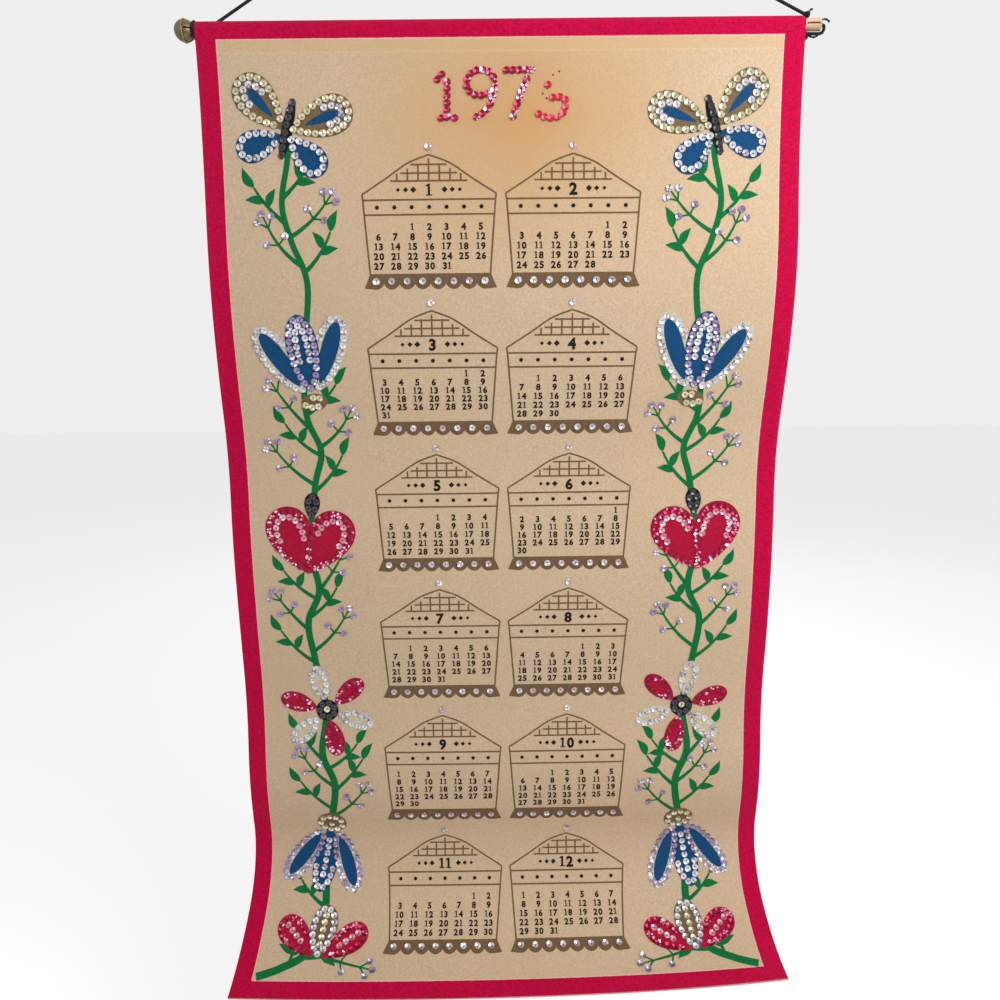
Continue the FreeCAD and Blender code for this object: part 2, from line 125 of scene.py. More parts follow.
# Figures: place outward and down, turn, then petals. A petal has its root, the way it points, its length,
# width and fullness, its sequins' colour, the colour of its cloth, how many rings of sequins lie inside
# the first and the colour of those.
FIGURES = [
    (2, 74, -14, [
        (-2, 2, -56, 47, 28, 0.9, "gold", "taupe", 1, "pearl", "blue"),
        (2, 2, 56, 47, 28, 0.9, "gold", "taupe", 1, "pearl", "blue"),
        (-2, 6, -122, 35, 22, 0.9, "pearl", "blue", 0, "pearl", "cream"),
        (2, 6, 122, 35, 22, 0.9, "pearl", "blue", 0, "pearl", "cream"),
        (0, 22, 0, 42, 8, 0, "black", "black", 0, "black", "black")]),
    (-2, 232, 8, [
        (-5, 26, -27, 58, 24, 0.3, "pearl", "cream", 0, "pearl", "blue"),
        (5, 26, 27, 58, 24, 0.3, "pearl", "cream", 0, "pearl", "blue"),
        (0, 26, 0, 56, 24, 0.3, "lilac", "blue", 1, "pearl", "cream"),
        (0, 28, 180, 13, 20, 0, "gold", "taupe", 0, "gold", "taupe")]),
    (3, 372, -6, [
        (0, 28, -27, 56, 35, 1.0, "ruby", "red", 1, "rose", "red"),
        (0, 28, 27, 56, 35, 1.0, "ruby", "red", 1, "rose", "red"),
        (0, -16, 0, 20, 12, 0.5, "black", "black", 0, "black", "black")]),
    (-3, 516, 12, [
        (0, -9, 0, 30, 16, 0.4, "pearl", "cream", 0, "pearl", "cream"),
        (8, -4, 60, 30, 16, 0.4, "ruby", "red", 0, "ruby", "red"),
        (8, 5, 120, 30, 16, 0.4, "pearl", "cream", 0, "pearl", "cream"),
        (0, 9, 180, 30, 16, 0.4, "ruby", "red", 0, "ruby", "red"),
        (-8, 5, 240, 30, 16, 0.4, "pearl", "cream", 0, "pearl", "cream"),
        (-8, -4, 300, 30, 16, 0.4, "ruby", "red", 0, "ruby", "red"),
        (0, 9, 0, 18, 18, 0, "black", "black", 1, "gold", "black")]),
    (2, 642, -10, [
        (-5, -20, 208, 54, 22, 0.3, "lilac", "cream", 0, "pearl", "blue"),
        (5, -20, 152, 54, 22, 0.3, "lilac", "cream", 0, "pearl", "blue"),
        (0, -20, 180, 52, 20, 0.3, "pearl", "blue", 1, "pearl", "cream"),
        (0, -18, 0, 18, 24, 0, "gold", "taupe", 1, "gold", "taupe")]),
    (1, 709, -6, [
        (-4, 13, -50, 40, 22, 0.8, "ruby", "red", 1, "rose", "red"),
        (4, 13, 50, 40, 22, 0.8, "ruby", "red", 1, "rose", "red"),
        (0, 14, 0, 40, 22, 0.4, "pearl", "taupe", 1, "gold", "taupe")]),
]

# The year's digits as runs of points on a unit grid. Most of the last digit was lost: one sequin stands
# alone, and specks of dye mark where others were.
YEAR_RUNS = [
    [(-1.14, 0.18), (-1.05, 0.07), (-0.96, 0.04), (-0.97, 0.98)], [(-1.08, 1.0), (-0.83, 1.0)],
    [(-0.22, 0.49), (-0.36, 0.53), (-0.5, 0.5), (-0.6, 0.38), (-0.61, 0.24), (-0.57, 0.1), (-0.46, 0.0),
     (-0.33, -0.02), (-0.2, 0.02), (-0.11, 0.14), (-0.09, 0.3), (-0.12, 0.5), (-0.17, 0.7), (-0.27, 0.87),
     (-0.43, 0.98)],
    [(0.12, 0.0), (0.62, -0.01), (0.5, 0.17), (0.4, 0.42), (0.32, 0.7), (0.24, 0.98)],
    [(0.97, 0.58), (1.1, 0.57), (1.2, 0.63), (1.21, 0.76), (1.17, 0.9), (1.06, 1.0), (0.93, 1.02),
     (0.82, 1.0), (0.71, 0.93)],
]
YEAR_STRAY = (0.88, 0.31)
LOST_MARKS = [(0.97, 0.10), (1.08, 0.03), (0.78, 0.49), (0.85, 0.59)]

# The vine of a side band, outward from the band's centre line and down, and its side shoots: where they
# leave the stem, the way they point, their length, how they bend and what they bear.
STEM = [(46, 737), (28, 730), (10, 718), (1, 690), (4, 640), (-4, 606), (-7, 578), (2, 552), (-2, 516),
        (5, 470), (8, 440), (-2, 414), (3, 380), (-3, 330), (-9, 304), (0, 276), (-2, 232), (-8, 182),
        (2, 152), (8, 126), (3, 96), (2, 80)]
SHOOTS = [
    (168, 58, 36, -34, "berries"), (172, -50, 34, 30, "leaves"), (150, -62, 34, 26, "berries"),
    (140, 52, 33, -22, "leaves"), (122, -48, 30, 12, "leaves"),
    (330, 60, 38, -26, "berries"), (336, -54, 36, 30, "leaves"), (306, 64, 36, -36, "leaves"),
    (300, -60, 30, 30, "berries"), (288, 46, 38, -16, "berries"), (276, -58, 33, 24, "leaves"),
    (474, 58, 38, -30, "leaves"), (466, -56, 38, 26, "berries"), (446, 46, 32, -12, "berries"),
    (438, -60, 34, 34, "leaves"), (422, 62, 34, -30, "leaves"), (414, -40, 30, 10, "berries"),
    (610, -62, 34, 26, "berries"), (604, 56, 36, -22, "leaves"), (586, -50, 36, 18, "leaves"),
    (580, 58, 34, -28, "berries"), (566, -64, 32, 30, "leaves"), (560, 48, 34, -20, "leaves"),
    (718, -108, 44, 6, "berries"), (722, -96, 30, 30, "leaves"), (728, -14, 13, 20, "leaves"),
    (684, 62, 30, -30, "leaves"),
]

# First weekday, Sunday as 0, and number of days of each month
MONTHS = [(2, 31), (5, 28), (5, 31), (1, 30), (3, 31), (6, 30), (1, 31), (4, 31), (0, 30), (2, 31), (5, 30),
          (0, 31)]

# The digit one as it is printed, with a flag and a foot: points on a unit height, faces and width
PLAIN_ONE = ([(0.17, 0), (0.37, 0), (0.37, 0.9), (0.17, 0.9), (0, 0.9), (0.54, 0.9), (0.54, 1), (0, 1),
              (0, 0.13), (0.17, 0.01), (0.17, 0.19), (0, 0.25)],
             [(0, 1, 2, 3), (4, 5, 6, 7), (8, 9, 10, 11)], 0.54)
DIGIT_BOLD, DIGIT_SPACE = 0.045, 0.14


def lean_table(across, down):
    """The cloth's lean in radians at arrays of places on it."""
    stations = np.linspace(0, FELT_DROP, len(LEAN_MIDDLE))
    side = across / HALF
    hang = (np.interp(down, stations, LEAN_MIDDLE) + side * np.interp(down, stations, LEAN_SIDE)
            + side * side * np.interp(down, stations, LEAN_EDGES))
    return np.where(down < FACE_ARC, np.pi / 2 - down / FACE_R, np.radians(hang))


# The drape, added up down the cloth along evenly spaced lines: how far forward and how high each place is
GRID_ACROSS, GRID_DOWN = np.meshgrid(np.linspace(-HALF, HALF, COLUMNS),
                                     np.linspace(0, FELT_DROP, ROWS_DOWN), indexing="ij")
STEP_DOWN = FELT_DROP / (ROWS_DOWN - 1)
MIDDLE_LEAN = lean_table(GRID_ACROSS[:, 1:], GRID_DOWN[:, 1:] - STEP_DOWN / 2)
START = np.zeros((COLUMNS, 1))
GRID_Y = -np.concatenate([START, np.cumsum(np.sin(MIDDLE_LEAN) * STEP_DOWN, 1)], 1)
GRID_Z = AXIS_Z + FACE_R - np.concatenate([START, np.cumsum(np.cos(MIDDLE_LEAN) * STEP_DOWN, 1)], 1)


def between(grid, across, down):
    """A grid's value between its columns and rows."""
    i = np.clip((across + HALF) / FELT_WIDTH * (COLUMNS - 1), 0, COLUMNS - 1.001)
    j = np.clip(down / STEP_DOWN, 0, ROWS_DOWN - 1.001)
    i0, j0 = i.astype(int), j.astype(int)
    a, b = i - i0, j - j0
    return ((grid[i0, j0] * (1 - a) + grid[i0 + 1, j0] * a) * (1 - b)
            + (grid[i0, j0 + 1] * (1 - a) + grid[i0 + 1, j0 + 1] * a) * b)


def lie(places, lift=0.0):
    """Points on the cloth's printed face, lifted off it, in metres, and the way the face looks there."""
    places = np.asarray(places, float)
    across, down = places[:, 0], places[:, 1]
    lean = lean_table(across, down)
    out = np.stack([np.zeros_like(lean), -np.cos(lean), np.sin(lean)], 1)
    on = np.stack([SHIFT + across, between(GRID_Y, across, down), between(GRID_Z, across, down)], 1)
    return (on + out * lift) * MM, out


# Materials

class Value:
    """A number or colour in a shader. Arithmetic on it adds Math nodes."""

    def __init__(self, finish, socket):
        self.finish, self.socket = finish, socket

    def math(self, operation, *others, first=None):
        """A Math node on this value and others, with one before it where the order counts."""
        terms = ([first] if first is not None else []) + [self] + list(others)
        return self.finish.node("Math", {"operation": operation}, dict(enumerate(terms)))

    def __add__(self, other):
        return self.math("ADD", other)

    def __sub__(self, other):
        return self.math("SUBTRACT", other)

    def __mul__(self, other):
        return self.math("MULTIPLY", other)

    def __rsub__(self, other):
        return self.math("SUBTRACT", first=other)

    __radd__, __rmul__ = __add__, __mul__

    def over(self, edge, soft):
        """0 below an edge and 1 above it, with a soft step."""
        ends = {"Value": self, "From Min": edge - soft, "From Max": edge + soft}
        return self.finish.node("MapRange", {}, ends)

    def least(self, other):
        """The smaller of two values."""
        return self.math("MINIMUM", other)

    def most(self, other):
        """The larger of two values."""
        return self.math("MAXIMUM", other)

    def size(self):
        """The value without its sign."""
        return self.math("ABSOLUTE")


class Finish:
    """A procedural material, or the world's light, under construction."""

    def __init__(self, name, world=None, **sockets):
        self.material = world or bpy.data.materials.new(name)
        self.material.use_nodes = True
        self.tree = self.material.node_tree
        self.shader = self.tree.nodes["Background" if world else "Principled BSDF"]
        self.set(**sockets)

    def fill(self, node, sockets):
        """Sets a node's sockets to numbers or colours, or links them."""
        for name, value in sockets.items():
            socket = node.inputs[name]
            if isinstance(value, Value):
                self.tree.links.new(value.socket, socket)
            elif isinstance(value, tuple) and len(value) == 3 and socket.type == "RGBA":
                socket.default_value = (*value, 1)
            else:
                socket.default_value = value

    def node(self, kind, settings, sockets, output=0):
        """Any node: its type, its settings, then its sockets' values or links."""
        made = self.tree.nodes.new(f"ShaderNode{kind}")
        for name, value in settings.items():
            setattr(made, name, value)
        self.fill(made, sockets)
        return Value(self, made.outputs[output])

    def place(self):
        """The place on the piece, in metres."""
        return self.node("TexCoord", {}, {}, "Object")

    def seen(self):
        """1 for a ray that the camera sees, straight or in a gloss, and 0 for one that only lights."""
        straight = self.node("LightPath", {}, {}, "Is Camera Ray")
        return straight.most(self.node("LightPath", {}, {}, "Is Glossy Ray"))

    def noise(self, scale, detail=2.0, roughness=0.5, where=None, distortion=0.0):
        """Noise from 0 to 1, so many times a metre."""
        return self.node("TexNoise", {}, {"Vector": where or self.place(), "Scale": scale, "Detail": detail,
                                          "Roughness": roughness, "Distortion": distortion})

    def stretched(self, x, y, z):
        """The place on the piece, counted finer or coarser along each axis."""
        return self.node("VectorMath", {"operation": "MULTIPLY"}, {0: self.place(), 1: (x, y, z)})

    def mix(self, share, first, second, how="MIX"):
        """Two colours mixed."""
        settings = {"data_type": "RGBA", "blend_type": how}
        return self.node("Mix", settings, {0: share, 6: first, 7: second}, 2)

    def bump(self, height, strength, distance):
        """Raises the surface by a height from 0 to 1 times a distance in metres."""
        self.set(Normal=self.node("Bump", {}, {"Height": height, "Strength": strength, "Distance": distance}))

    def set(self, **sockets):
        """Sets or links sockets of the shader itself."""
        self.fill(self.shader, {name.replace("_", " "): value for name, value in sockets.items()})

    def parts(self, vector):
        """A vector's three numbers."""
        made = self.node("SeparateXYZ", {}, {0: vector}).socket.node
        return [Value(self, out) for out in made.outputs]


CREAM, CREAM_TUFT, CREAM_DEEP = (0.81, 0.61, 0.43), (0.61, 0.44, 0.27), (0.73, 0.51, 0.30)
CRIMSON, CRIMSON_DEEP = (0.79, 0.003, 0.084), (0.44, 0.0, 0.034)
STAIN = (0.68, 0.39, 0.17)
# The second of these is a painted highlight: a light line along the ridge that the hem's edge raises
HEM_TONE, HEM_RIDGE_HIGHLIGHT = (0.74, 0.49, 0.25), (0.93, 0.80, 0.58)
HALO = (0.97, 0.62, 0.56)
FIBRE_SHADE = (0.62, 0.55, 0.46)
EDGE_PINK, EDGE_RED = (0.86, 0.50, 0.46), (0.62, 0.20, 0.22)
BACK_CLOTH = (0.80, 0.66, 0.44)
INKS = {
    "green": (0.003, 0.225, 0.058), "blue": (0.008, 0.092, 0.25), "red": (0.60, 0.008, 0.055),
    "taupe": (0.27, 0.175, 0.085), "black": (0.012, 0.010, 0.012), "cream": (0.90, 0.77, 0.52),
    "line": (0.245, 0.145, 0.075), "text": (0.028, 0.018, 0.014), "faded": (0.30, 0.055, 0.06),
}
INK_WORN = 0.15

# How far each ink lies off the felt, so that one laid over another covers it
INK_LIFTS = (("green", 0.12), ("line", 0.12), ("faded", 0.12), ("taupe", 0.16), ("cream", 0.20),
             ("blue", 0.24), ("red", 0.28), ("black", 0.32), ("text", 0.12))

# Felt's fine and coarse fibres and its tufts, so many a metre, and how deep the fibres' relief is
FIBRE_FINE, FIBRE_COARSE, TUFT = 2600.0, 900.0, 620.0
FIBRE_DEPTH = 0.0006

# Where hands have browned the cloth most, across and down in metres, and how fast that fades each way
HANDLED_AT, HANDLED_FADES = (0.02, 0.07), (7.5, 9.0)


def felt_like(name, roughness=0.93, sheen=0.06):
    """A dull finish with a little fuzz, to be coloured."""
    return Finish(name, Roughness=roughness, Specular_IOR_Level=0.12, Sheen_Weight=sheen,
                  Sheen_Roughness=0.5)


def fibres(finish):
    """Felt's matted fibres: fine crossing streaks in two directions and small pills, from 0 to 1."""
    upright = finish.stretched(FIBRE_COARSE, FIBRE_COARSE, FIBRE_COARSE * 2.6)
    level = finish.stretched(FIBRE_COARSE * 2.4, FIBRE_COARSE, FIBRE_COARSE)
    along, across = [finish.noise(1.0, 3.0, 0.65, where, 1.5) for where in (upright, level)]
    return along * 0.4 + across * 0.35 + finish.noise(FIBRE_FINE, 2.0, 0.6) * 0.25


def tufts(finish, light, dark, amount):
    """How light and dark tufts of fibre break up a colour at arm's length."""
    tuft = finish.noise(TUFT, 4.0, 0.8)
    return finish.mix(tuft.over(0.5, 0.15) * amount, light, dark)


def felt_finish():
    """The printed face: cream felt with a crimson border, handling marks and stains, and a painted highlight
    along the hem's ridge.
    """
    finish = felt_like("printed_felt")
    across, down, _ = finish.parts(finish.node("UVMap", {"uv_map": "cloth"}, {}))
    fuzz = fibres(finish)
    blotch = finish.noise(7.0, 3.0, 0.55)
    # The cream: blotches, then where it was handled, the hem behind it, a painted highlight along the hem's
    # ridge and small spots
    cloth = tufts(finish, CREAM, CREAM_TUFT, 0.85)
    cloth = finish.mix(blotch.over(0.56, 0.16) * 0.30, cloth, CREAM_DEEP)
    near = [(1.0 - (at - middle).size() * fade).most(0.0)
            for at, middle, fade in zip((across, down), HANDLED_AT, HANDLED_FADES)]
    handled = near[0] * near[1] * finish.noise(2.2, 2.0).over(0.45, 0.25) * 1.5
    cloth = finish.mix(handled.least(1.0), cloth, STAIN)
    hem = (HEM_DEPTH * MM - down).over(0.0, 0.0008)
    cloth = finish.mix(hem * 0.50, cloth, HEM_TONE)
    # Painted highlight: a light line along the ridge where the hem's edge presses through the face
    ridge = 1.0 - ((down - HEM_DEPTH * MM).size() * 900.0).least(1.0)
    cloth = finish.mix(ridge * 0.16, cloth, HEM_RIDGE_HIGHLIGHT)
    spots = finish.noise(34.0, 2.0, 0.5).over(0.69, 0.05)
    cloth = finish.mix(spots * 0.10, cloth, STAIN)
    # The border, outside an edge whose dye has run a little into the cream
    edge = ((HALF - BORDER_SIDE) * MM - across.size()).least(down - BORDER_TOP * MM)
    edge = edge.least((FELT_DROP - BORDER_FOOT) * MM - down) + (finish.noise(900.0, 2.0) - 0.5) * 0.0007
    red = tufts(finish, CRIMSON, CRIMSON_DEEP, 0.95)
    red = finish.mix(blotch.over(0.5, 0.2) * 0.25, red, CRIMSON_DEEP)
    bleed = 1.0 - edge.over(0.0006, 0.0003)
    cloth = finish.mix(bleed * 0.8, cloth, HALO)
    colour = finish.mix(1.0 - edge.over(0.0, 0.00012), cloth, red)
    shaded = finish.mix(1.0, colour, FIBRE_SHADE, "MULTIPLY")
    finish.set(Base_Color=finish.mix((fuzz - 0.5).size() * 0.42, colour, shaded))
    finish.bump(fuzz, 0.55, FIBRE_DEPTH)
    return finish.material


def plain_felt(name, colour, deep):
    """Unprinted felt, as at the back and the cut edge."""
    finish = felt_like(name, 0.95)
    tone = tufts(finish, colour, deep, 0.6)
    finish.set(Base_Color=finish.mix(finish.noise(9.0, 3.0).over(0.55, 0.2) * 0.4, tone, deep))
    finish.bump(fibres(finish), 0.6, FIBRE_DEPTH)
    return finish.material


def ink_finish(name):
    """Ink pressed into the felt, thinner on the high fibres."""
    colour = INKS[name]
    finish = felt_like(f"ink_{name}", 0.9, 0.04)
    fuzz = fibres(finish)
    worn = tuple(c + (k - c) * INK_WORN for c, k in zip(colour, CREAM))
    deep = tuple(c * 0.55 for c in colour)
    body = tufts(finish, colour, deep, 0.8)
    finish.set(Base_Color=finish.mix(fuzz.over(0.62, 0.10) * 0.5, body, worn))
    finish.bump(fuzz, 0.55, FIBRE_DEPTH)
    return finish.material


# Each film's two tones, mixed facet by facet partly as painted light and shade, the painted highlight tone of
# the glinting facets (for pearl a painted dark reflection), how metallic it is and its lacquer
SEQUIN_TONES = {
    "pearl": ((0.90, 0.90, 0.94), (0.42, 0.40, 0.47), (0.22, 0.20, 0.25), 0.40, 0.35),
    "gold": ((0.78, 0.72, 0.50), (0.36, 0.30, 0.15), (0.86, 0.82, 0.66), 0.70, 0.35),
    "ruby": ((0.17, 0.0, 0.010), (0.50, 0.004, 0.075), (0.84, 0.55, 0.72), 0.75, 0.12),
    "scarlet": ((0.52, 0.002, 0.022), (0.66, 0.010, 0.05), (0.78, 0.26, 0.28), 0.45, 0.12),
    "rose": ((0.48, 0.03, 0.10), (0.84, 0.50, 0.58), (0.92, 0.74, 0.80), 0.3, 0.35),
    "lilac": ((0.17, 0.10, 0.22), (0.50, 0.43, 0.64), (0.92, 0.90, 0.96), 0.6, 0.30),
    "black": ((0.006, 0.006, 0.008), (0.02, 0.02, 0.03), (0.02, 0.02, 0.03), 0.0, 0.35),
    "crystal": ((0.30, 0.21, 0.21), (0.84, 0.76, 0.80), (0.96, 0.93, 0.96), 0.5, 0.35),
}


def sequin_finish(name):
    """Faceted film: each cup has a tone of its own, pale film with a shifting tint, with painted shade and
    painted highlights on its facets.
    """
    first, second, painted_reflection, metal, lacquer = SEQUIN_TONES[name]
    finish = Finish(f"sequin_{name}", Metallic=metal, Coat_Weight=lacquer, Coat_Roughness=0.06)
    own = finish.node("Attribute", {"attribute_name": "tone"}, {}, "Fac")
    tint = finish.noise(900.0, 1.0)
    # Painted shade and painted highlights: each facet is mixed between the two tones, partly by its cup's own
    # tone, and the facets with the highest values take the painted highlight tone
    colour = finish.mix(own * 0.8 + tint * 0.2, first, second)
    colour = finish.mix(own.over(0.74, 0.02), colour, painted_reflection)
    finish.set(Base_Color=colour, Roughness=0.10 + finish.noise(1500.0, 2.0) * 0.18)
    return finish.material


def glue_and_shade_finish():
    """The bead of old glue that shows in a sequin's hole, dark partly as the glue's own colour and partly as
    painted shade in the hole.
    """
    finish = Finish("old_glue_and_hole_shade", Roughness=0.4)
    finish.set(Base_Color=finish.mix(finish.noise(700.0), (0.10, 0.06, 0.035), (0.24, 0.16, 0.09)))
    return finish.material


def wood_finish():
    """Bare birch: pale, with long grain and darker pores along the rod."""
    finish = Finish("birch", Roughness=0.62)
    grain = finish.noise(1.0, 4.0, 0.6, finish.stretched(28.0, 900.0, 900.0), 0.6)
    pores = finish.noise(1.0, 2.0, 0.5, finish.stretched(90.0, 3600.0, 3600.0))
    colour = finish.mix(grain.over(0.5, 0.16), (0.78, 0.56, 0.36), (0.60, 0.38, 0.21))
    colour = finish.mix(pores.over(0.66, 0.06) * 0.55, colour, (0.30, 0.17, 0.09))
    finish.set(Base_Color=colour, Roughness=0.52 + grain * 0.2)
    finish.bump(grain + pores * 0.6, 0.35, 0.0003)
    return finish.material


def brass_finish():
    """Antique brass: dark patina in the hollows, rubbed brass on the ridge and the crown."""
    finish = Finish("antique_brass", Metallic=0.85, Roughness=0.42)
    cloud = finish.noise(260.0, 3.0, 0.6)
    rub = finish.noise(900.0, 2.0, 0.6)
    worn = finish.node("NewGeometry", {}, {}, "Pointiness").over(0.525, 0.03)
    colour = finish.mix(cloud.over(0.5, 0.14), (0.085, 0.066, 0.034), (0.165, 0.128, 0.062))
    colour = finish.mix((worn * 0.7).most(rub.over(0.62, 0.05) * 0.3), colour, (0.40, 0.32, 0.17))
    finish.set(Base_Color=colour, Roughness=0.34 + cloud * 0.22)
    finish.bump(cloud, 0.15, 0.0003)
    return finish.material


def cord_finish():
    """Black rayon cord with a slight shine and stray pale fibres."""
    finish = Finish("black_cord", Roughness=0.6, Specular_IOR_Level=0.3, Sheen_Weight=0.05,
                    Sheen_Roughness=0.35)
    strands = finish.noise(3200.0, 2.0, 0.6)
    pale = strands.over(0.6, 0.12) * 0.5
    finish.set(Base_Color=finish.mix(pale, (0.004, 0.004, 0.006), (0.022, 0.026, 0.034)))
    finish.bump(strands, 0.5, 0.0003)
    return finish.material


def iron_finish():
    """The dull iron of the bell's pellet."""
    finish = Finish("iron_pellet", Metallic=0.9, Roughness=0.5)
    finish.set(Base_Color=finish.mix(finish.noise(600.0), (0.12, 0.11, 0.10), (0.24, 0.22, 0.20)))
    return finish.material


def stage_finish():
    """The plain floor, lifted towards white where the camera sees it."""
    finish = Finish("pale_floor", Roughness=0.9, Base_Color=(0.80, 0.80, 0.80), Emission_Strength=1.0)
    finish.set(Emission_Color=finish.seen() * FLOOR_LIFT)
    return finish.material


# Meshes

def new_piece(name, points, faces, materials, smooth=False, picks=None):
    """A mesh piece that rides on the calendar's one body."""
    mesh = bpy.data.meshes.new(name)
    mesh.from_pydata([tuple(p) for p in points], [], faces)
    for material in materials:
        mesh.materials.append(material)
    if picks is not None:
        mesh.polygons.foreach_set("material_index", picks)
    mesh.polygons.foreach_set("use_smooth", [smooth] * len(mesh.polygons))
    mesh.update()
    piece = bpy.data.objects.new(name, mesh)
    bpy.context.scene.collection.objects.link(piece)
    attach(piece, "root")
    return piece


def hem_back(across):
    """Where the rod pocket's straight back begins and ends, as Y and Z in millimetres."""
    on, out = lie([(across, HEM_DEPTH)])
    foot = on[0] / MM - out[0] * 2 * FELT_THICK
    y, z = foot[1], foot[2] - AXIS_Z
    turn = math.atan2(z, y) + math.acos(FACE_R / math.hypot(y, z))
    return turn, foot


def felt_rows(across):
    """The cloth's outer face along one line across it, from its foot over the dowel to the hem's edge:
    points, the way each looks, and how far down it is, where the back of the fold counts below zero."""
    downs = [FELT_DROP * k / FELT_ROWS for k in range(FELT_ROWS, 3, -1)]
    downs += [FACE_ARC * k / FOLD_STEPS for k in range(FOLD_STEPS + 4, -1, -1)]
    downs = sorted(set(round(d, 4) for d in downs), reverse=True)
    on, out = lie([(across, d) for d in downs])
    points, ways = list(on / MM), list(out)
    turn, foot = hem_back(across)
    top = np.array([SHIFT + across, 0.0, AXIS_Z])
    for k in range(1, HEM_TURN_STEPS + 1):
        angle = math.pi / 2 + (turn - math.pi / 2) * k / HEM_TURN_STEPS
        way = np.array([0.0, math.cos(angle), math.sin(angle)])
        points.append(top + way * FACE_R)
        ways.append(way)
        downs.append((angle - math.pi / 2) * FACE_R)
    start, way = points[-1], ways[-1]
    reach = np.linalg.norm(foot - start)
    for k in range(1, HEM_STEPS + 1):
        points.append(start + (foot - start) * k / HEM_STEPS)
        ways.append(way)
        downs.append((turn - math.pi / 2) * FACE_R - reach * k / HEM_STEPS)
    return points, ways, downs


def make_felt():
    """The sheet as one closed strip: printed face, bare back and rounded cut edges."""
    columns = FELT_COLUMNS
    corners, ways, downs, acrosses = [], [], [], []
    for c in range(columns + 1):
        across = -HALF + FELT_WIDTH * c / columns
        points, outs, drops = felt_rows(across)
        corners.append(points)
        ways.append(outs)
        downs.append(drops)
        acrosses.append(across)
    rows = len(corners[0])
    points, cloth = [], []
    for layer in (0.0, 1.0):
        for c in range(columns + 1):
            for r in range(rows):
                point = corners[c][r] - ways[c][r] * FELT_THICK * layer
                below = AXIS_Z + FACE_R - corners[c][r][2]
                if c == columns and below < CORNER_ROUND:
                    sink = CORNER_ROUND - math.sqrt(CORNER_ROUND ** 2 - (CORNER_ROUND - max(0.0, below)) ** 2)
                    point = point - np.array([sink, 0, 0])
                points.append(point * MM)
                cloth.append((acrosses[c] * MM, downs[c][r] * MM))
    half = (columns + 1) * rows

    def at(layer, c, r):
        """A corner's number, from its layer, column and row."""
        return layer * half + c * rows + r

    faces, picks = [], []
    for c in range(columns):
        for r in range(rows - 1):
            faces.append((at(0, c, r), at(0, c + 1, r), at(0, c + 1, r + 1), at(0, c, r + 1)))
            faces.append((at(1, c, r), at(1, c, r + 1), at(1, c + 1, r + 1), at(1, c + 1, r)))
            picks += [0, 1]
        for r, flip in ((0, False), (rows - 1, True)):
            edge = (at(0, c, r), at(1, c, r), at(1, c + 1, r), at(0, c + 1, r))
            faces.append(edge[::-1] if flip else edge)
            picks.append(2)
    for r in range(rows - 1):
        for c, flip in ((0, False), (columns, True)):
            edge = (at(0, c, r), at(0, c, r + 1), at(1, c, r + 1), at(1, c, r))
            faces.append(edge[::-1] if flip else edge)
            picks.append(2)
    materials = [felt_finish(), plain_felt("felt_back", BACK_CLOTH, CREAM_DEEP),
                 plain_felt("felt_edge", EDGE_PINK, EDGE_RED)]
    piece = new_piece("felt_sheet", points, faces, materials, True, picks)
    chart = piece.data.uv_layers.new(name="cloth")
    order = [loop.vertex_index for loop in piece.data.loops]
    chart.data.foreach_set("uv", np.array(cloth)[order].ravel())
    bevel = piece.modifiers.new("worn_edge", "BEVEL")
    bevel.width, bevel.segments, bevel.angle_limit = WORN_EDGE * MM, 2, math.radians(60)
    bevel.limit_method = "ANGLE"
    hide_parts("felt_panel")


# The print's outlines, in millimetres across and down

PETAL_POINTS = 72


def smooth(line, per=8):
    """A run of points rounded into a flowing line."""
    ends = [line[0]] + list(line) + [line[-1]]
    made = []
    for a, b, c, d in zip(ends, ends[1:], ends[2:], ends[3:]):
        for k in range(per):
            t = k / per
            made.append(tuple(0.5 * (2 * q + (r - p) * t + (2 * p - 5 * q + 4 * r - w) * t * t
                                     + (3 * q - p - 3 * r + w) * t ** 3) for p, q, r, w in zip(a, b, c, d)))
    return made + [line[-1]]


def ribbon(line, start, end):
    """A stroke along a line, from one width to another, as a strip of four-sided outlines."""
    left, right = [], []
    count = len(line)
    for k, (x, y) in enumerate(line):
        before, after = line[max(k - 1, 0)], line[min(k + 1, count - 1)]
        dx, dy = after[0] - before[0], after[1] - before[1]
        run = math.hypot(dx, dy) or 1.0
        half = (start + (end - start) * k / max(1, count - 1)) / 2
        left.append((x - dy / run * half, y + dx / run * half))
        right.append((x + dy / run * half, y - dx / run * half))
    return [[left[k], left[k + 1], right[k + 1], right[k]] for k in range(count - 1)]


def towards(root, points_to, along, out=0.0):
    """A place so far along a direction from a root and so far out to its side. Up the cloth is 0 degrees."""
    angle = math.radians(points_to)
    return (root[0] + along * math.sin(angle) + out * math.cos(angle),
            root[1] - along * math.cos(angle) + out * math.sin(angle))


def petal_outline(root, points_to, length, width, fullness, inset=0.0):
    """The closed outline of a petal, drawn in from its edge by an inset."""
    across_most = 2 * ((1 + fullness) / (2 + fullness)) ** ((1 + fullness) / 2) / math.sqrt(2 + fullness)
    outline = []
    for k in range(PETAL_POINTS):
        turn = math.pi * k / PETAL_POINTS
        along = inset + (length - 2 * inset) * math.sin(turn) ** 2
        out = (width / 2 - inset) * math.sin(2 * turn) * math.sin(turn) ** fullness / across_most
        outline.append(towards(root, points_to, along, out))
    return outline


def leaf_outline(root, points_to, length, width, curl):
    """A pointed leaf that bends to one side."""
    side, other = [], []
    for k in range(LEAF_STEPS + 1):
        t = k / LEAF_STEPS
        spread = width / 2 * math.sin(math.pi * t ** LEAF_BELLY) * (1 - LEAF_TAPER * t)
        drift = curl * length * math.sin(math.pi * t) * 0.5
        for outline, out in ((side, drift + spread), (other, drift - spread)):
            outline.append(towards(root, points_to, t * length, out))
    return side + other[-2:0:-1]


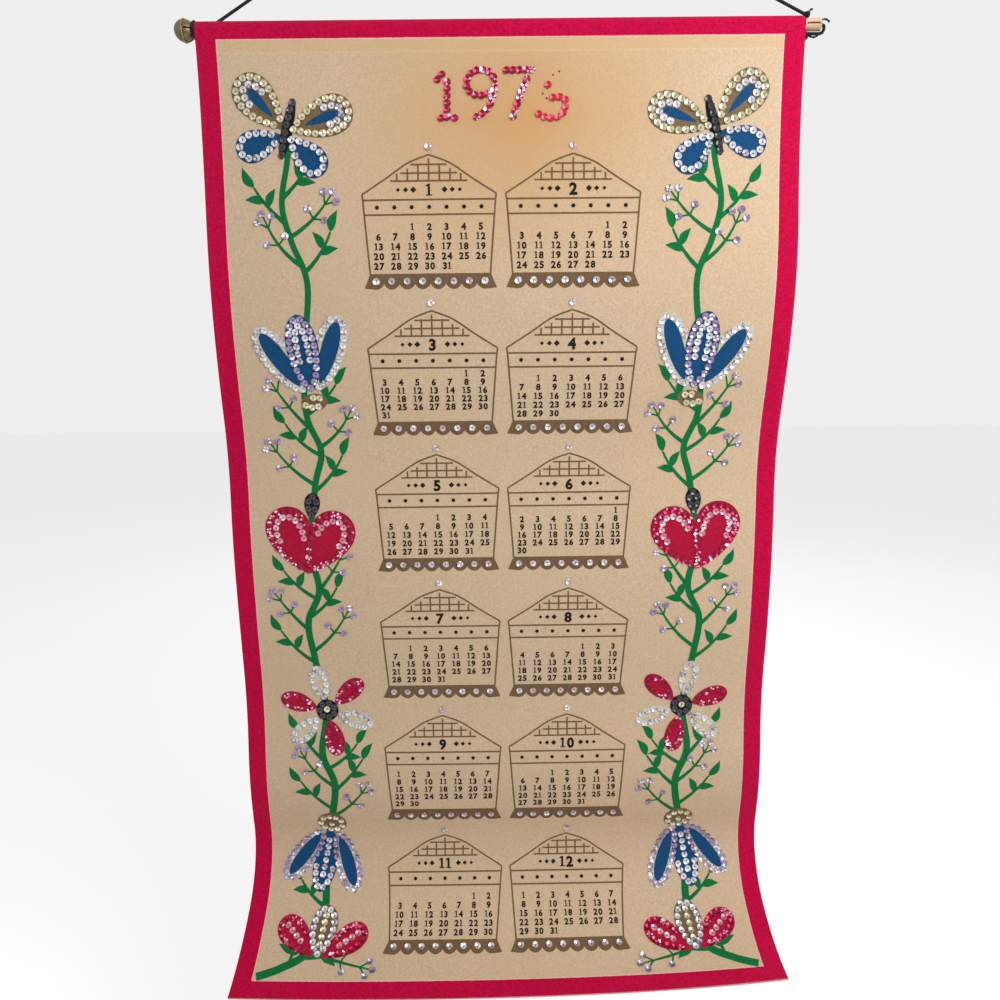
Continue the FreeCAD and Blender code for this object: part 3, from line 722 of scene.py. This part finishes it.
def even_points(outline, pitch, closed):
    """Points about a pitch apart along a run of points, so that they come out even."""
    if closed:
        outline = outline + outline[:1]
    lengths = [math.dist(a, b) for a, b in zip(outline, outline[1:])]
    total = sum(lengths)
    count = max(1, round(total / pitch))
    made, walked, k = [], 0.0, 0
    for n in range(count if closed else count + 1):
        target = total * n / count
        while k < len(lengths) - 1 and walked + lengths[k] < target:
            walked += lengths[k]
            k += 1
        share = (target - walked) / lengths[k]
        made.append(tuple(a + (b - a) * share for a, b in zip(outline[k], outline[k + 1])))
    return made


def year_line(run):
    """A run of the year's digits in its place on the cloth."""
    return [(x * YEAR_WIDTH, YEAR_TOP + y * YEAR_HEIGHT) for x, y in run]


def petals():
    """Each petal with its root and direction worked out, outward and down in its side band."""
    for out, down, turn, shapes in FIGURES:
        tilt = math.radians(turn)
        for x, y, points_to, *rest in shapes:
            root = (out + x * math.cos(tilt) - y * math.sin(tilt),
                    down + x * math.sin(tilt) + y * math.cos(tilt))
            yield root, points_to + turn, rest


def on_sides(shape):
    """A shape of the side band at both sides of the cloth."""
    return [[(side * (BAND_CENTRE + x), y) for x, y in shape] for side in (-1, 1)]


def on_both(place):
    """A place in the side band at both sides of the cloth."""
    return [shape[0] for shape in on_sides([place])]


def stem_place(line, down):
    """The stem's point at a distance down."""
    return min(line, key=lambda p: abs(p[1] - down))


def shoot_lines():
    """Each side shoot's line and what it bears."""
    stem = smooth(STEM)
    for down, points_to, length, bend, bears in SHOOTS:
        root = stem_place(stem, down)
        line = []
        for k in range(SHOOT_STEPS + 1):
            t = k / SHOOT_STEPS
            line.append(towards(root, points_to + bend * t * 0.5, length * t))
        yield line, points_to + bend, bears


def sprays(line, points_to):
    """The stalks of a berry spray and the places of its berries."""
    for k, turn, reach in STALKS:
        yield line[k], towards(line[k], points_to + turn, reach)


def foliage():
    """The green of a side band, as outlines, and where its berries are."""
    shapes, berries = ribbon(smooth(STEM), *STEM_WIDTHS), []
    for line, points_to, bears in shoot_lines():
        shapes += ribbon(line, *SHOOT_WIDTHS)
        if bears == "berries":
            for root, berry in sprays(line, points_to):
                shapes += ribbon([root, berry], *STALK_WIDTHS)
                berries.append(berry)
        else:
            for k, turn, length, width, curl in LEAVES:
                shapes.append(leaf_outline(line[k], points_to + turn, length, width, curl))
    return shapes, berries


def panel_shapes(middle, top):
    """A month's frame: a gabled board with ruled bands, a lattice under the gable and a brown foot."""
    left, right = middle - PANEL_HALF, middle + PANEL_HALF
    ridge, eave, board = top + RIDGE, top + EAVE, top + BOARD_RULE
    rule, foot, base = top + DOT_RULE, top + FOOT, top + SCALLOP_LINE
    low = eave - LATTICE_FOOT
    bends = [(middle - out, eave - up) for out, up in GABLE_BENDS]
    gable = smooth([(left, eave), *bends, (middle, ridge)])
    lines = [gable, [(2 * middle - x, y) for x, y in gable]]
    for share, width in LATTICE_BARS:
        level = ridge + (low - ridge) * share / LATTICE_BARS[-1][0]
        lines.append([(middle - width * BAR_SHARE + BAR_SHORT, level),
                      (middle + width * BAR_SHARE - BAR_SHORT, level)])
    for k in range(-3, 4):
        x = middle + k * LATTICE_GAP
        lines.append([(x, ridge + abs(k) * ROD_STEP + ROD_DROP), (x, low)])
    lines += [[(left, eave), (left + BOARD_IN, board)], [(right, eave), (right - BOARD_IN, board)]]
    lines += [[(left + BOARD_IN, board), (right - BOARD_IN, board)]]
    lines += [[(left + RULE_IN, rule), (right - RULE_IN, rule)]]
    lines += [[(left + BOARD_IN, board), (left + FOOT_IN, foot)]]
    lines += [[(right - BOARD_IN, board), (right - FOOT_IN, foot)]]
    steps = FOOT_SEQUINS * SCALLOP_STEPS
    scallops = [(-PANEL_HALF, base + SCALLOP_END)]
    for k in range(4, steps - 3):
        x = FOOT_SEQUINS * FOOT_ROW_GAP * (k / steps - 0.5)
        dip = abs(math.sin(math.pi * k / SCALLOP_STEPS)) ** SCALLOP_ROUND
        scallops.append((x, base + SCALLOP_DEPTH * dip))
    scallops.append((PANEL_HALF, base + SCALLOP_END))
    fields = []
    edge = foot - FOOT_OVER
    for (x, y), (next_x, next_y) in zip(scallops, scallops[1:]):
        fields.append([(middle + x * FOOT_TAPER, edge), (middle + next_x * FOOT_TAPER, edge),
                       (middle + next_x, next_y), (middle + x, y)])
    return lines, fields


def digit_shapes():
    """The outlines of the ten digits, as flat meshes a unit high: the one as given in PLAIN_ONE, the rest
    from Blender's own letters.
    """
    shapes = {"1": PLAIN_ONE}
    for digit in "023456789":
        letter = bpy.data.curves.new("digit", "FONT")
        letter.body, letter.size, letter.offset = digit, 1.0, DIGIT_BOLD
        letter.resolution_u = 3
        holder = bpy.data.objects.new("digit", letter)
        bpy.context.scene.collection.objects.link(holder)
        bpy.context.view_layer.update()
        mesh = bpy.data.meshes.new_from_object(holder)
        points = [(v.co.x, v.co.y) for v in mesh.vertices]
        faces = [tuple(p.vertices) for p in mesh.polygons]
        low, high = min(x for x, _ in points), max(x for x, _ in points)
        tall = max(y for _, y in points)
        shapes[digit] = ([((x - low) / tall, 1 - y / tall) for x, y in points], faces, (high - low) / tall)
        bpy.data.objects.remove(holder)
        bpy.data.curves.remove(letter)
        bpy.data.meshes.remove(mesh)
    return shapes


def number_marks(shapes, text, middle, top, height):
    """A number's digits as flat meshes in place on the cloth."""
    wide = sum(shapes[d][2] for d in text) + DIGIT_SPACE * (len(text) - 1)
    x = middle - wide * height / 2
    for digit in text:
        points, faces, width = shapes[digit]
        yield [(x + px * height, top + py * height) for px, py in points], faces
        x += (width + DIGIT_SPACE) * height


def dot(x, y, radius, sides):
    """The outline of a printed dot."""
    turns = [math.tau * n / sides for n in range(sides)]
    return [(x + radius * math.cos(turn), y + radius * math.sin(turn)) for turn in turns]


class Sheet:
    """Flat shapes of one ink, cut fine enough to follow the cloth."""

    def __init__(self, name, lift):
        self.name, self.lift, self.mesh = name, lift, bmesh.new()

    def add(self, outline):
        """Adds an outline as one face."""
        corners = [self.mesh.verts.new((x, y, 0)) for x, y in outline]
        self.mesh.faces.new(corners)

    def add_mesh(self, points, faces):
        """Adds a flat mesh."""
        corners = [self.mesh.verts.new((x, y, 0)) for x, y in points]
        for face in faces:
            self.mesh.faces.new([corners[k] for k in face])

    def slice(self, places, way):
        """Cuts the shapes at places along a way."""
        for place in places:
            near = [face for face in self.mesh.faces
                    if min(v.co.dot(way) for v in face.verts) < place
                    and max(v.co.dot(way) for v in face.verts) > place]
            if near:
                parts = near + list({edge for face in near for edge in face.edges})
                parts += list({v for face in near for v in face.verts})
                bmesh.ops.bisect_plane(self.mesh, geom=parts, plane_co=way * place, plane_no=way)

    def lay(self, sliced):
        """Lays the ink on the cloth as a piece."""
        bmesh.ops.triangulate(self.mesh, faces=[f for f in self.mesh.faces if len(f.verts) > 4])
        if sliced:
            columns = [-HALF + FELT_WIDTH * k / FELT_COLUMNS for k in range(1, FELT_COLUMNS)]
            self.slice(columns, Vector((1, 0, 0)))
            self.slice([FELT_DROP * k / FELT_ROWS for k in range(1, FELT_ROWS)], Vector((0, 1, 0)))
        for face in self.mesh.faces:
            if face.normal.z > 0:
                face.normal_flip()
        points, _ = lie([(v.co.x, v.co.y) for v in self.mesh.verts], self.lift)
        index = {v: k for k, v in enumerate(self.mesh.verts)}
        faces = [tuple(index[v] for v in f.verts) for f in self.mesh.faces]
        new_piece(f"print_{self.name}", points, faces, [ink_finish(self.name)], True)
        self.mesh.free()


def print_month(sheets, digits, month, first, days):
    """One month's frame, its number between diamonds, a dot for each weekday and its days."""
    middle, top = PANEL_MIDDLES[month % 2], PANEL_TOP + PANEL_PITCH * (month // 2)
    lines, fields = panel_shapes(middle, top)
    for line in lines:
        for outline in ribbon(line, LINE_WIDTH, LINE_WIDTH):
            sheets["line"].add(outline)
    for field in fields:
        sheets["line"].add(field)
    weeks = (first + days + 6) // 7
    drop, gap = (WEEKS_DROP, WEEK_GAP) if weeks < 6 else (SIX_WEEKS_DROP, SIX_WEEKS_GAP)
    numbers = []
    for day in range(days):
        column, week = (first + day) % 7, (first + day) // 7
        level = top + drop + week * gap - DAY_HEIGHT / 2
        numbers.append((str(day + 1), middle + (column - 3) * DAY_GAP, level, DAY_FIGURE))
    numbers.append((str(month + 1), middle, top + TITLE_DROP, TITLE_HEIGHT))
    for number in numbers:
        for points, faces in number_marks(digits, *number):
            sheets["text"].add_mesh(points, faces)
    y = top + DIAMOND_DROP
    for side in (-1, 1):
        for k in range(3):
            x = middle + side * (DIAMOND_OUT + k * DIAMOND_GAP)
            reach = DIAMOND_REACH - k * DIAMOND_SHRINK
            sheets["text"].add([(x - reach, y), (x, y - reach), (x + reach, y), (x, y + reach)])
    for k in range(7):
        sheets["text"].add(dot(middle + (k - 3) * DOT_GAP, top + DOT_DROP, DOT_R, DOT_SIDES))


def make_print():
    """Every printed colour on the cloth. Returns where the berries are."""
    green, berries = foliage()
    sheets = {name: Sheet(name, lift) for name, lift in INK_LIFTS}
    for shape in green:
        for outline in on_sides(shape):
            sheets["green"].add(outline)
    for root, points_to, (length, width, fullness, _, field, rings, _, heart) in petals():
        for outline in on_sides(petal_outline(root, points_to, length, width, fullness)):
            sheets[field].add(outline)
        if heart != field:
            inset = HEART_INSET + rings * RING_STEP
            if width / 2 > inset + HEART_LEAST:
                for outline in on_sides(petal_outline(root, points_to, length, width, fullness, inset)):
                    sheets[heart].add(outline)
    digits = digit_shapes()
    for month, (first, days) in enumerate(MONTHS):
        print_month(sheets, digits, month, first, days)
    for x, y in year_line(LOST_MARKS):
        sheets["faded"].add(dot(x, y, LOST_R, LOST_SIDES))
    for name, sheet in sheets.items():
        sheet.lay(name not in ("text", "faded"))
    return berries


# Sequins

CUP_SIDES = 10
HOLE_R, HOLE_HEIGHT, FILM = 0.62, 0.22, 0.12
GLUE_SIDES, GLUE_R, GLUE_FOOT, GLUE_TOP = 6, 0.5, 0.02, 0.34
TIPPED, SIZES = 0.055, (0.97, 1.03)

# Colours that the solids have in a node of another colour
SHARED = {"rose": "ruby", "scarlet": "ruby"}


def cup_mesh():
    """One cup, face up, in millimetres: a faceted film with a hole, and the glue bead in the hole."""
    points, faces, glue = [], [], []
    for radius, height in ((SEQUIN_R, SEQUIN_HEIGHT), (HOLE_R, HOLE_HEIGHT), (HOLE_R, HOLE_HEIGHT - FILM),
                           (SEQUIN_R, SEQUIN_HEIGHT - FILM)):
        for k in range(CUP_SIDES):
            angle = math.tau * k / CUP_SIDES
            points.append((radius * math.cos(angle), radius * math.sin(angle), height))
    for ring in range(4):
        for k in range(CUP_SIDES):
            n = (k + 1) % CUP_SIDES
            a, b = ring * CUP_SIDES, (ring + 1) % 4 * CUP_SIDES
            faces.append((a + k, a + n, b + n, b + k))
    # The glue bead in the hole: dark partly as old glue and partly as painted shade in the hole
    start = len(points)
    for k in range(GLUE_SIDES):
        angle = math.tau * k / GLUE_SIDES
        points.append((GLUE_R * math.cos(angle), GLUE_R * math.sin(angle), GLUE_FOOT))
        glue.append((start + k, start + (k + 1) % GLUE_SIDES, start + GLUE_SIDES))
    points.append((0, 0, GLUE_TOP))
    return np.array(points), faces, glue


def make_sequins(colour, places):
    """A colour's sequins on the cloth, each turned and tipped a little by hand."""
    cup, faces, glue = cup_mesh()
    on, ways = lie(places, GLUE_GAP)
    points, all_faces, picks, tones = [], [], [], []
    for centre, way in zip(on, ways):
        tip = Vector(way) + Vector((rng.gauss(0, TIPPED), 0, rng.gauss(0, TIPPED)))
        turn = tip.to_track_quat("Z", "Y").to_matrix() @ Matrix.Rotation(rng.uniform(0, math.tau), 3, "Z")
        start = len(points)
        points += list(centre + (cup * rng.uniform(*SIZES)) @ np.array(turn).T * MM)
        all_faces += [tuple(start + k for k in face) for face in faces + glue]
        picks += [0] * len(faces) + [1] * len(glue)
        # Each cup's own tone, and for each facet a share that sets its painted shade and whether it takes the
        # painted highlight tone
        own = rng.random()
        facets = [0.35 * own + 0.65 * rng.random() for _ in range(CUP_SIDES)]
        tones += facets * 4 + [own] * len(glue)
    piece = new_piece(f"sequins_{colour}_film", points, all_faces, [sequin_finish(colour), GLUE_AND_HOLE_SHADE],
                      False, picks)
    tone = piece.data.attributes.new("tone", "FLOAT", "FACE")
    tone.data.foreach_set("value", tones)
    if colour not in SHARED:
        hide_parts(f"sequins_{colour}")


def apart(places, taken, least=LEAST_APART):
    """The places that keep clear of all earlier ones."""
    kept = []
    for place in places:
        if all(abs(place[0] - q[0]) > least or math.dist(place, q) >= least for q in taken):
            kept.append(place)
            taken.append(place)
    return kept


def sequin_places(berries):
    """Where each colour's sequins sit: first the rows that the solids have, then the rows inside them."""
    first = {}
    for root, points_to, (length, width, fullness, colour, *_) in petals():
        outline = petal_outline(root, points_to, length, width, fullness, ROW_INSET)
        for place in even_points(outline, SEQUIN_PITCH, True):
            first.setdefault(colour, []).extend(on_both(place))
    first["crystal"] = []
    for row in range(PANEL_ROWS):
        top = PANEL_TOP + row * PANEL_PITCH
        for middle in PANEL_MIDDLES:
            first["crystal"].append((middle, top))
            for k in range(FOOT_SEQUINS):
                x = middle + (k - (FOOT_SEQUINS - 1) / 2) * FOOT_ROW_GAP
                first["crystal"].append((x, top + FOOT_ROW_DROP))
    taken, kept = [], {}
    for colour in sorted(first):
        kept[colour] = apart(first[colour], taken)
    for run in YEAR_RUNS:
        colour = "scarlet" if run is YEAR_RUNS[-1] else "ruby"
        row = apart(even_points(year_line(run), YEAR_PITCH, False), taken, YEAR_APART)
        kept.setdefault(colour, []).extend(row)
    kept["scarlet"] += year_line([YEAR_STRAY])
    for root, points_to, (length, width, fullness, _, _, rings, colour, _) in petals():
        for ring in range(1, rings + 1):
            inset = ROW_INSET + ring * RING_STEP
            row = petal_outline(root, points_to, length, width, fullness, inset)
            narrow = width / 2 < inset + NARROW
            if narrow:
                row = [towards(root, points_to, along) for along in (inset + ROOT_CLEAR, length - inset)]
            for place in even_points(row, SEQUIN_PITCH, not narrow):
                kept.setdefault(colour, []).extend(apart(on_both(place), taken))
    for place in berries:
        kept["lilac"].extend(apart(on_both(place), taken))
    return kept


# Cord

KNOT_R, KNOT_GAP = 1.9, 0.4
KNOT_OUT = FACE_R + KNOT_R + KNOT_GAP
TIE_GAP, WRAP_GAP = 0.15, 0.05
TIE_LEFT, TIE_RIGHT = SHIFT - HALF - CORD_R - TIE_GAP, SHIFT + HALF + CORD_R + TIE_GAP
DOWEL_OUT = 11.5
TIE_R = DOWEL_R + CORD_R + WRAP_GAP
KNOT_RIGHT = (TIE_RIGHT + 0.6, 0.0, AXIS_Z + TIE_R + 0.8)
NAIL_R, CORNER_OUT, NEAR_NAIL = 0.5, 1.3, 15.0

# Steps in a turn of the plies, the fewest in a run of them, and steps in a turn round the dowel
PLY_STEPS, FEWEST_STEPS, WRAP_STEPS = 12, 8, 24

# How a cord is twisted: how far out its plies run, their radius, their pitch and how many there are
CORD_LAY, KNOT_LAY, TAIL_LAY = (0.62, 0.60, 4.6, 3), (0.60, 0.60, 4.6, 3), (0.34, 0.42, 5.0, 2)

# A hard little knot: a loop that passes over itself
KNOT_LOOP = ((0.2, -1.6, -1.9), (1.7, 0.4, -0.8), (0.9, 1.5, 1.0), (-1.5, 0.9, 1.1), (-1.4, -0.4, -0.9),
             (0.6, -0.9, -0.6), (0.9, 0.3, 1.2))


def read_line(places):
    """The points of the smooth line with these control points in millimetres, in metres."""
    points = [Vector(place) * MM for place in places]
    curve = bpy.data.curves.new("line_reader", "CURVE")
    curve.dimensions = "3D"
    spline = curve.splines.new("NURBS")
    spline.points.add(len(points) - 1)
    for point, place in zip(spline.points, points):
        point.co = (*place, 1)
    spline.order_u = 3
    spline.use_endpoint_u = True
    spline.resolution_u = 16
    holder = bpy.data.objects.new("line_reader", curve)
    bpy.context.scene.collection.objects.link(holder)
    bpy.context.view_layer.update()
    mesh = bpy.data.meshes.new_from_object(holder)
    line = [Vector(v.co) for v in mesh.vertices]
    bpy.data.meshes.remove(mesh)
    bpy.data.objects.remove(holder)
    bpy.data.curves.remove(curve)
    return line


def plies(line, lay, sides=6):
    """Twisted plies along a line, as points and faces in metres."""
    lay_radius, ply_radius, pitch, count = lay[0] * MM, lay[1] * MM, lay[2] * MM, lay[3]
    runs = [0.0]
    for a, b in zip(line, line[1:]):
        runs.append(runs[-1] + (b - a).length)
    total = runs[-1]
    steps = max(FEWEST_STEPS, int(total / pitch * PLY_STEPS))
    centres, ks = [], 0
    for n in range(steps + 1):
        target = total * n / steps
        while ks < len(runs) - 2 and runs[ks + 1] < target:
            ks += 1
        share = (target - runs[ks]) / max(1e-9, runs[ks + 1] - runs[ks])
        centres.append(line[ks].lerp(line[ks + 1], share))
    points, faces = [], []
    side = (centres[1] - centres[0]).orthogonal().normalized()
    frames = []
    for n in range(steps + 1):
        way = (centres[min(n + 1, steps)] - centres[max(n - 1, 0)]).normalized()
        side = (side - way * side.dot(way)).normalized()
        frames.append((way, side.copy(), way.cross(side)))
    for ply in range(count):
        path = []
        for n, (way, u, v) in enumerate(frames):
            angle = math.tau * (total * n / steps / pitch + ply / count)
            path.append(centres[n] + (u * math.cos(angle) + v * math.sin(angle)) * lay_radius)
        start = len(points)
        for n, centre in enumerate(path):
            way = (path[min(n + 1, steps)] - path[max(n - 1, 0)]).normalized()
            u = (centre - centres[n]).normalized()
            u = (u - way * u.dot(way)).normalized()
            v = way.cross(u)
            for k in range(sides):
                angle = math.tau * k / sides
                points.append(centre + (u * math.cos(angle) + v * math.sin(angle)) * ply_radius)
        for n in range(steps):
            for k in range(sides):
                a, b = start + n * sides + k, start + n * sides + (k + 1) % sides
                faces.append((a, b, b + sides, a + sides))
        faces.append(tuple(start + k for k in range(sides))[::-1])
        faces.append(tuple(start + steps * sides + k for k in range(sides)))
    return points, faces


def make_cord(finish):
    """The hanging cord: three twisted plies, taut from knot to knot over the nail. The corner of the route
    lies beyond the nail because the smooth line cuts it."""
    corner = Vector((0, 0, CORD_R + NAIL_R + CORNER_OUT))
    left, right = Vector((TIE_LEFT, KNOT_OUT, AXIS_Z)), Vector(KNOT_RIGHT)
    route = [left, corner + (left - corner).normalized() * NEAR_NAIL, corner,
             corner + (right - corner).normalized() * NEAR_NAIL, right]
    line = read_line(route)
    points, faces = plies(line, CORD_LAY)
    piece = new_piece("hanging_cord_plies", points, faces, [finish], True)
    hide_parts("hanging_cord")
    [tuple(p) for p in line]


def wrap_line(x, turns, start, drift):
    """Part of a turn of cord round the dowel, or a whole one."""
    made = []
    count = int(turns * WRAP_STEPS)
    for k in range(count + 1):
        angle = start + math.tau * turns * k / count
        around = (TIE_R * math.cos(angle), AXIS_Z + TIE_R * math.sin(angle))
        made.append(Vector((x + drift * k / count, *around)) * MM)
    return made


def knot_line(x, y, z, turn):
    """The knot's loop at a place, turned about X."""
    lay = Matrix.Rotation(turn, 3, "X")
    return read_line([Vector((x, y, z)) + lay @ Vector(place) for place in KNOT_LOOP])


def make_tie(name, node, finish, parts):
    """One end's tie, from its lines and how each is twisted."""
    points, faces = [], []
    for line, lay in parts:
        more, cells = plies(line, lay)
        faces += [tuple(len(points) + k for k in cell) for cell in cells]
        points += more
    piece = new_piece(name, points, faces, [finish], True)
    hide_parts(node)


def make_ties(finish):
    """How the cord's ends are tied: turns round the dowel, a knot behind, and frayed tails at the right."""
    make_tie("cord_wrap_left", "cord_tie_left", finish, [
        (wrap_line(TIE_LEFT, 1.0, 0.0, 0.3), CORD_LAY),
        (knot_line(TIE_LEFT, KNOT_OUT, AXIS_Z, 0.0), KNOT_LAY)])
    end = SHIFT + HALF + DOWEL_OUT
    low = AXIS_Z - TIE_R
    x, y, z = KNOT_RIGHT
    loop = [(end - 6, 0, AXIS_Z), (end + 0.5, 0, AXIS_Z), (end + 3.2, 0, AXIS_Z - 0.6),
            (end + 2.2, 0.3, low - 0.5), (end - 4.5, 0.6, low - 0.3), (TIE_RIGHT + 0.5, 1.0, low - 0.1)]
    tails = [
        [(x, y, z), (x + 1.4, y - 1.2, z + 1.8), (x + 2.0, y - 1.0, z + 3.2), (x + 3.6, y - 0.6, z + 3.6)],
        [(end - 1.5, 0, AXIS_Z + 1.0), (end + 1.2, -0.4, AXIS_Z + 3.4), (end + 4.6, -0.6, AXIS_Z + 3.2),
         (end + 6.0, -0.8, AXIS_Z + 1.4)],
        [(TIE_RIGHT + 1, 0, low - 0.8), (TIE_RIGHT + 0.6, -0.8, low - 3.6),
         (TIE_RIGHT - 1.6, -1.0, low - 6.8), (TIE_RIGHT - 2.2, -1.0, low - 8.2)],
        [(TIE_RIGHT + 1, 0, low - 0.8), (TIE_RIGHT + 4.6, -1.0, low - 3.4),
         (TIE_RIGHT + 8.2, -1.0, low - 2.6), (TIE_RIGHT + 9.8, -1.0, low - 0.4)],
    ]
    make_tie("cord_wrap_right", "cord_tie_right", finish, [
        (wrap_line(TIE_RIGHT, 0.5, -math.pi / 2, 0.4), CORD_LAY),
        (knot_line(x, y, z, math.pi / 2), KNOT_LAY),
        (knot_line(TIE_RIGHT + 0.6, 0.5, low - 1.0, 0.4), KNOT_LAY),
        (read_line(loop), CORD_LAY),
        *[(read_line(tail), TAIL_LAY) for tail in tails]])


def dress(node, material):
    """A carried-over solid gets its finish."""
    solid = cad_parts[node]
    solid.data.materials.clear()
    solid.data.materials.append(material)


# Stage, lights and camera

FLOOR_Z, FLOOR_REACH = -1.02, 6.0
FLOOR_LIFT, SKY_SEEN, SKY_LIGHT = 0.56, 0.86, 0.27

# Square lamps: watts, size, place and what each points at
LAMPS = {
    "key": (8.2, 0.6, (0.62, -0.66, 0.10), (0.17, 0, -0.24)),
    "fill": (3.0, 1.0, (-1.1, -1.3, 0.1), (0, 0, -0.2)),
    "back_wash": (6, 1.2, (0.5, 1.6, 0.6), (0, 0, -0.4)),
    "floor_wash": (5, 3.0, (0, 1.0, 1.6), (0, 1.0, -1.0)),
}
SENSOR = 36.0


def make_lamp(name, power, size, place, aim):
    """A square lamp."""
    lamp = bpy.data.lights.new(name, "AREA")
    lamp.energy, lamp.size = power, size
    holder = bpy.data.objects.new(name, lamp)
    bpy.context.scene.collection.objects.link(holder)
    holder.location = place
    holder.rotation_euler = (Vector(aim) - Vector(place)).to_track_quat("-Z", "Y").to_euler()


def make_stage():
    """The floor, the sky and the lamps. The sky looks paler than it lights."""
    mesh = bpy.data.meshes.new("floor")
    corners = [(-1, -1), (1, -1), (1, 1), (-1, 1)]
    mesh.from_pydata([(x * FLOOR_REACH, y * FLOOR_REACH, FLOOR_Z) for x, y in corners], [], [(0, 1, 2, 3)])
    mesh.materials.append(stage_finish())
    floor = bpy.data.objects.new("floor", mesh)
    bpy.context.scene.collection.objects.link(floor)
    world = bpy.data.worlds.new("studio")
    bpy.context.scene.world = world
    sky = Finish("sky", world, Color=(1.0, 1.0, 1.0))
    levels = {"Value": sky.seen(), "To Min": SKY_LIGHT, "To Max": SKY_SEEN}
    sky.set(Strength=sky.node("MapRange", {}, levels))
    for name, settings in LAMPS.items():
        make_lamp(name, *settings)


def make_camera():
    """The camera that took the photograph."""
    down, left = math.radians(CAMERA_DOWN), math.radians(CAMERA_LEFT)
    forward = Vector((-math.sin(left) * math.cos(down), math.cos(left) * math.cos(down), -math.sin(down)))
    right = forward.cross(Vector((0, 0, 1))).normalized()
    up = right.cross(forward)
    turn = Matrix((right, up, -forward)).transposed() @ Matrix.Rotation(math.radians(CAMERA_ROLL), 3, "Z")
    lens = bpy.data.cameras.new("camera")
    lens.sensor_width = SENSOR
    lens.lens = FOCAL_IN_WIDTHS * SENSOR
    lens.clip_start = 0.01
    camera = bpy.data.objects.new("camera", lens)
    bpy.context.scene.collection.objects.link(camera)
    camera.matrix_world = Matrix.Translation(CAMERA_AT) @ turn.to_4x4()
    bpy.context.scene.camera = camera


bpy.context.scene.view_settings.view_transform = "Standard"
make_camera()
CORD = cord_finish()
make_cord(CORD)
make_ties(CORD)
make_stage()
make_felt()
# The glue beads' finish: old glue, dark also as painted shade in the sequins' holes
GLUE_AND_HOLE_SHADE = glue_and_shade_finish()
for colour, places in sequin_places(make_print()).items():
    make_sequins(colour, places)
dress("dowel", wood_finish())
dress("bell_shell", brass_finish())
dress("bell_pellet", iron_finish())
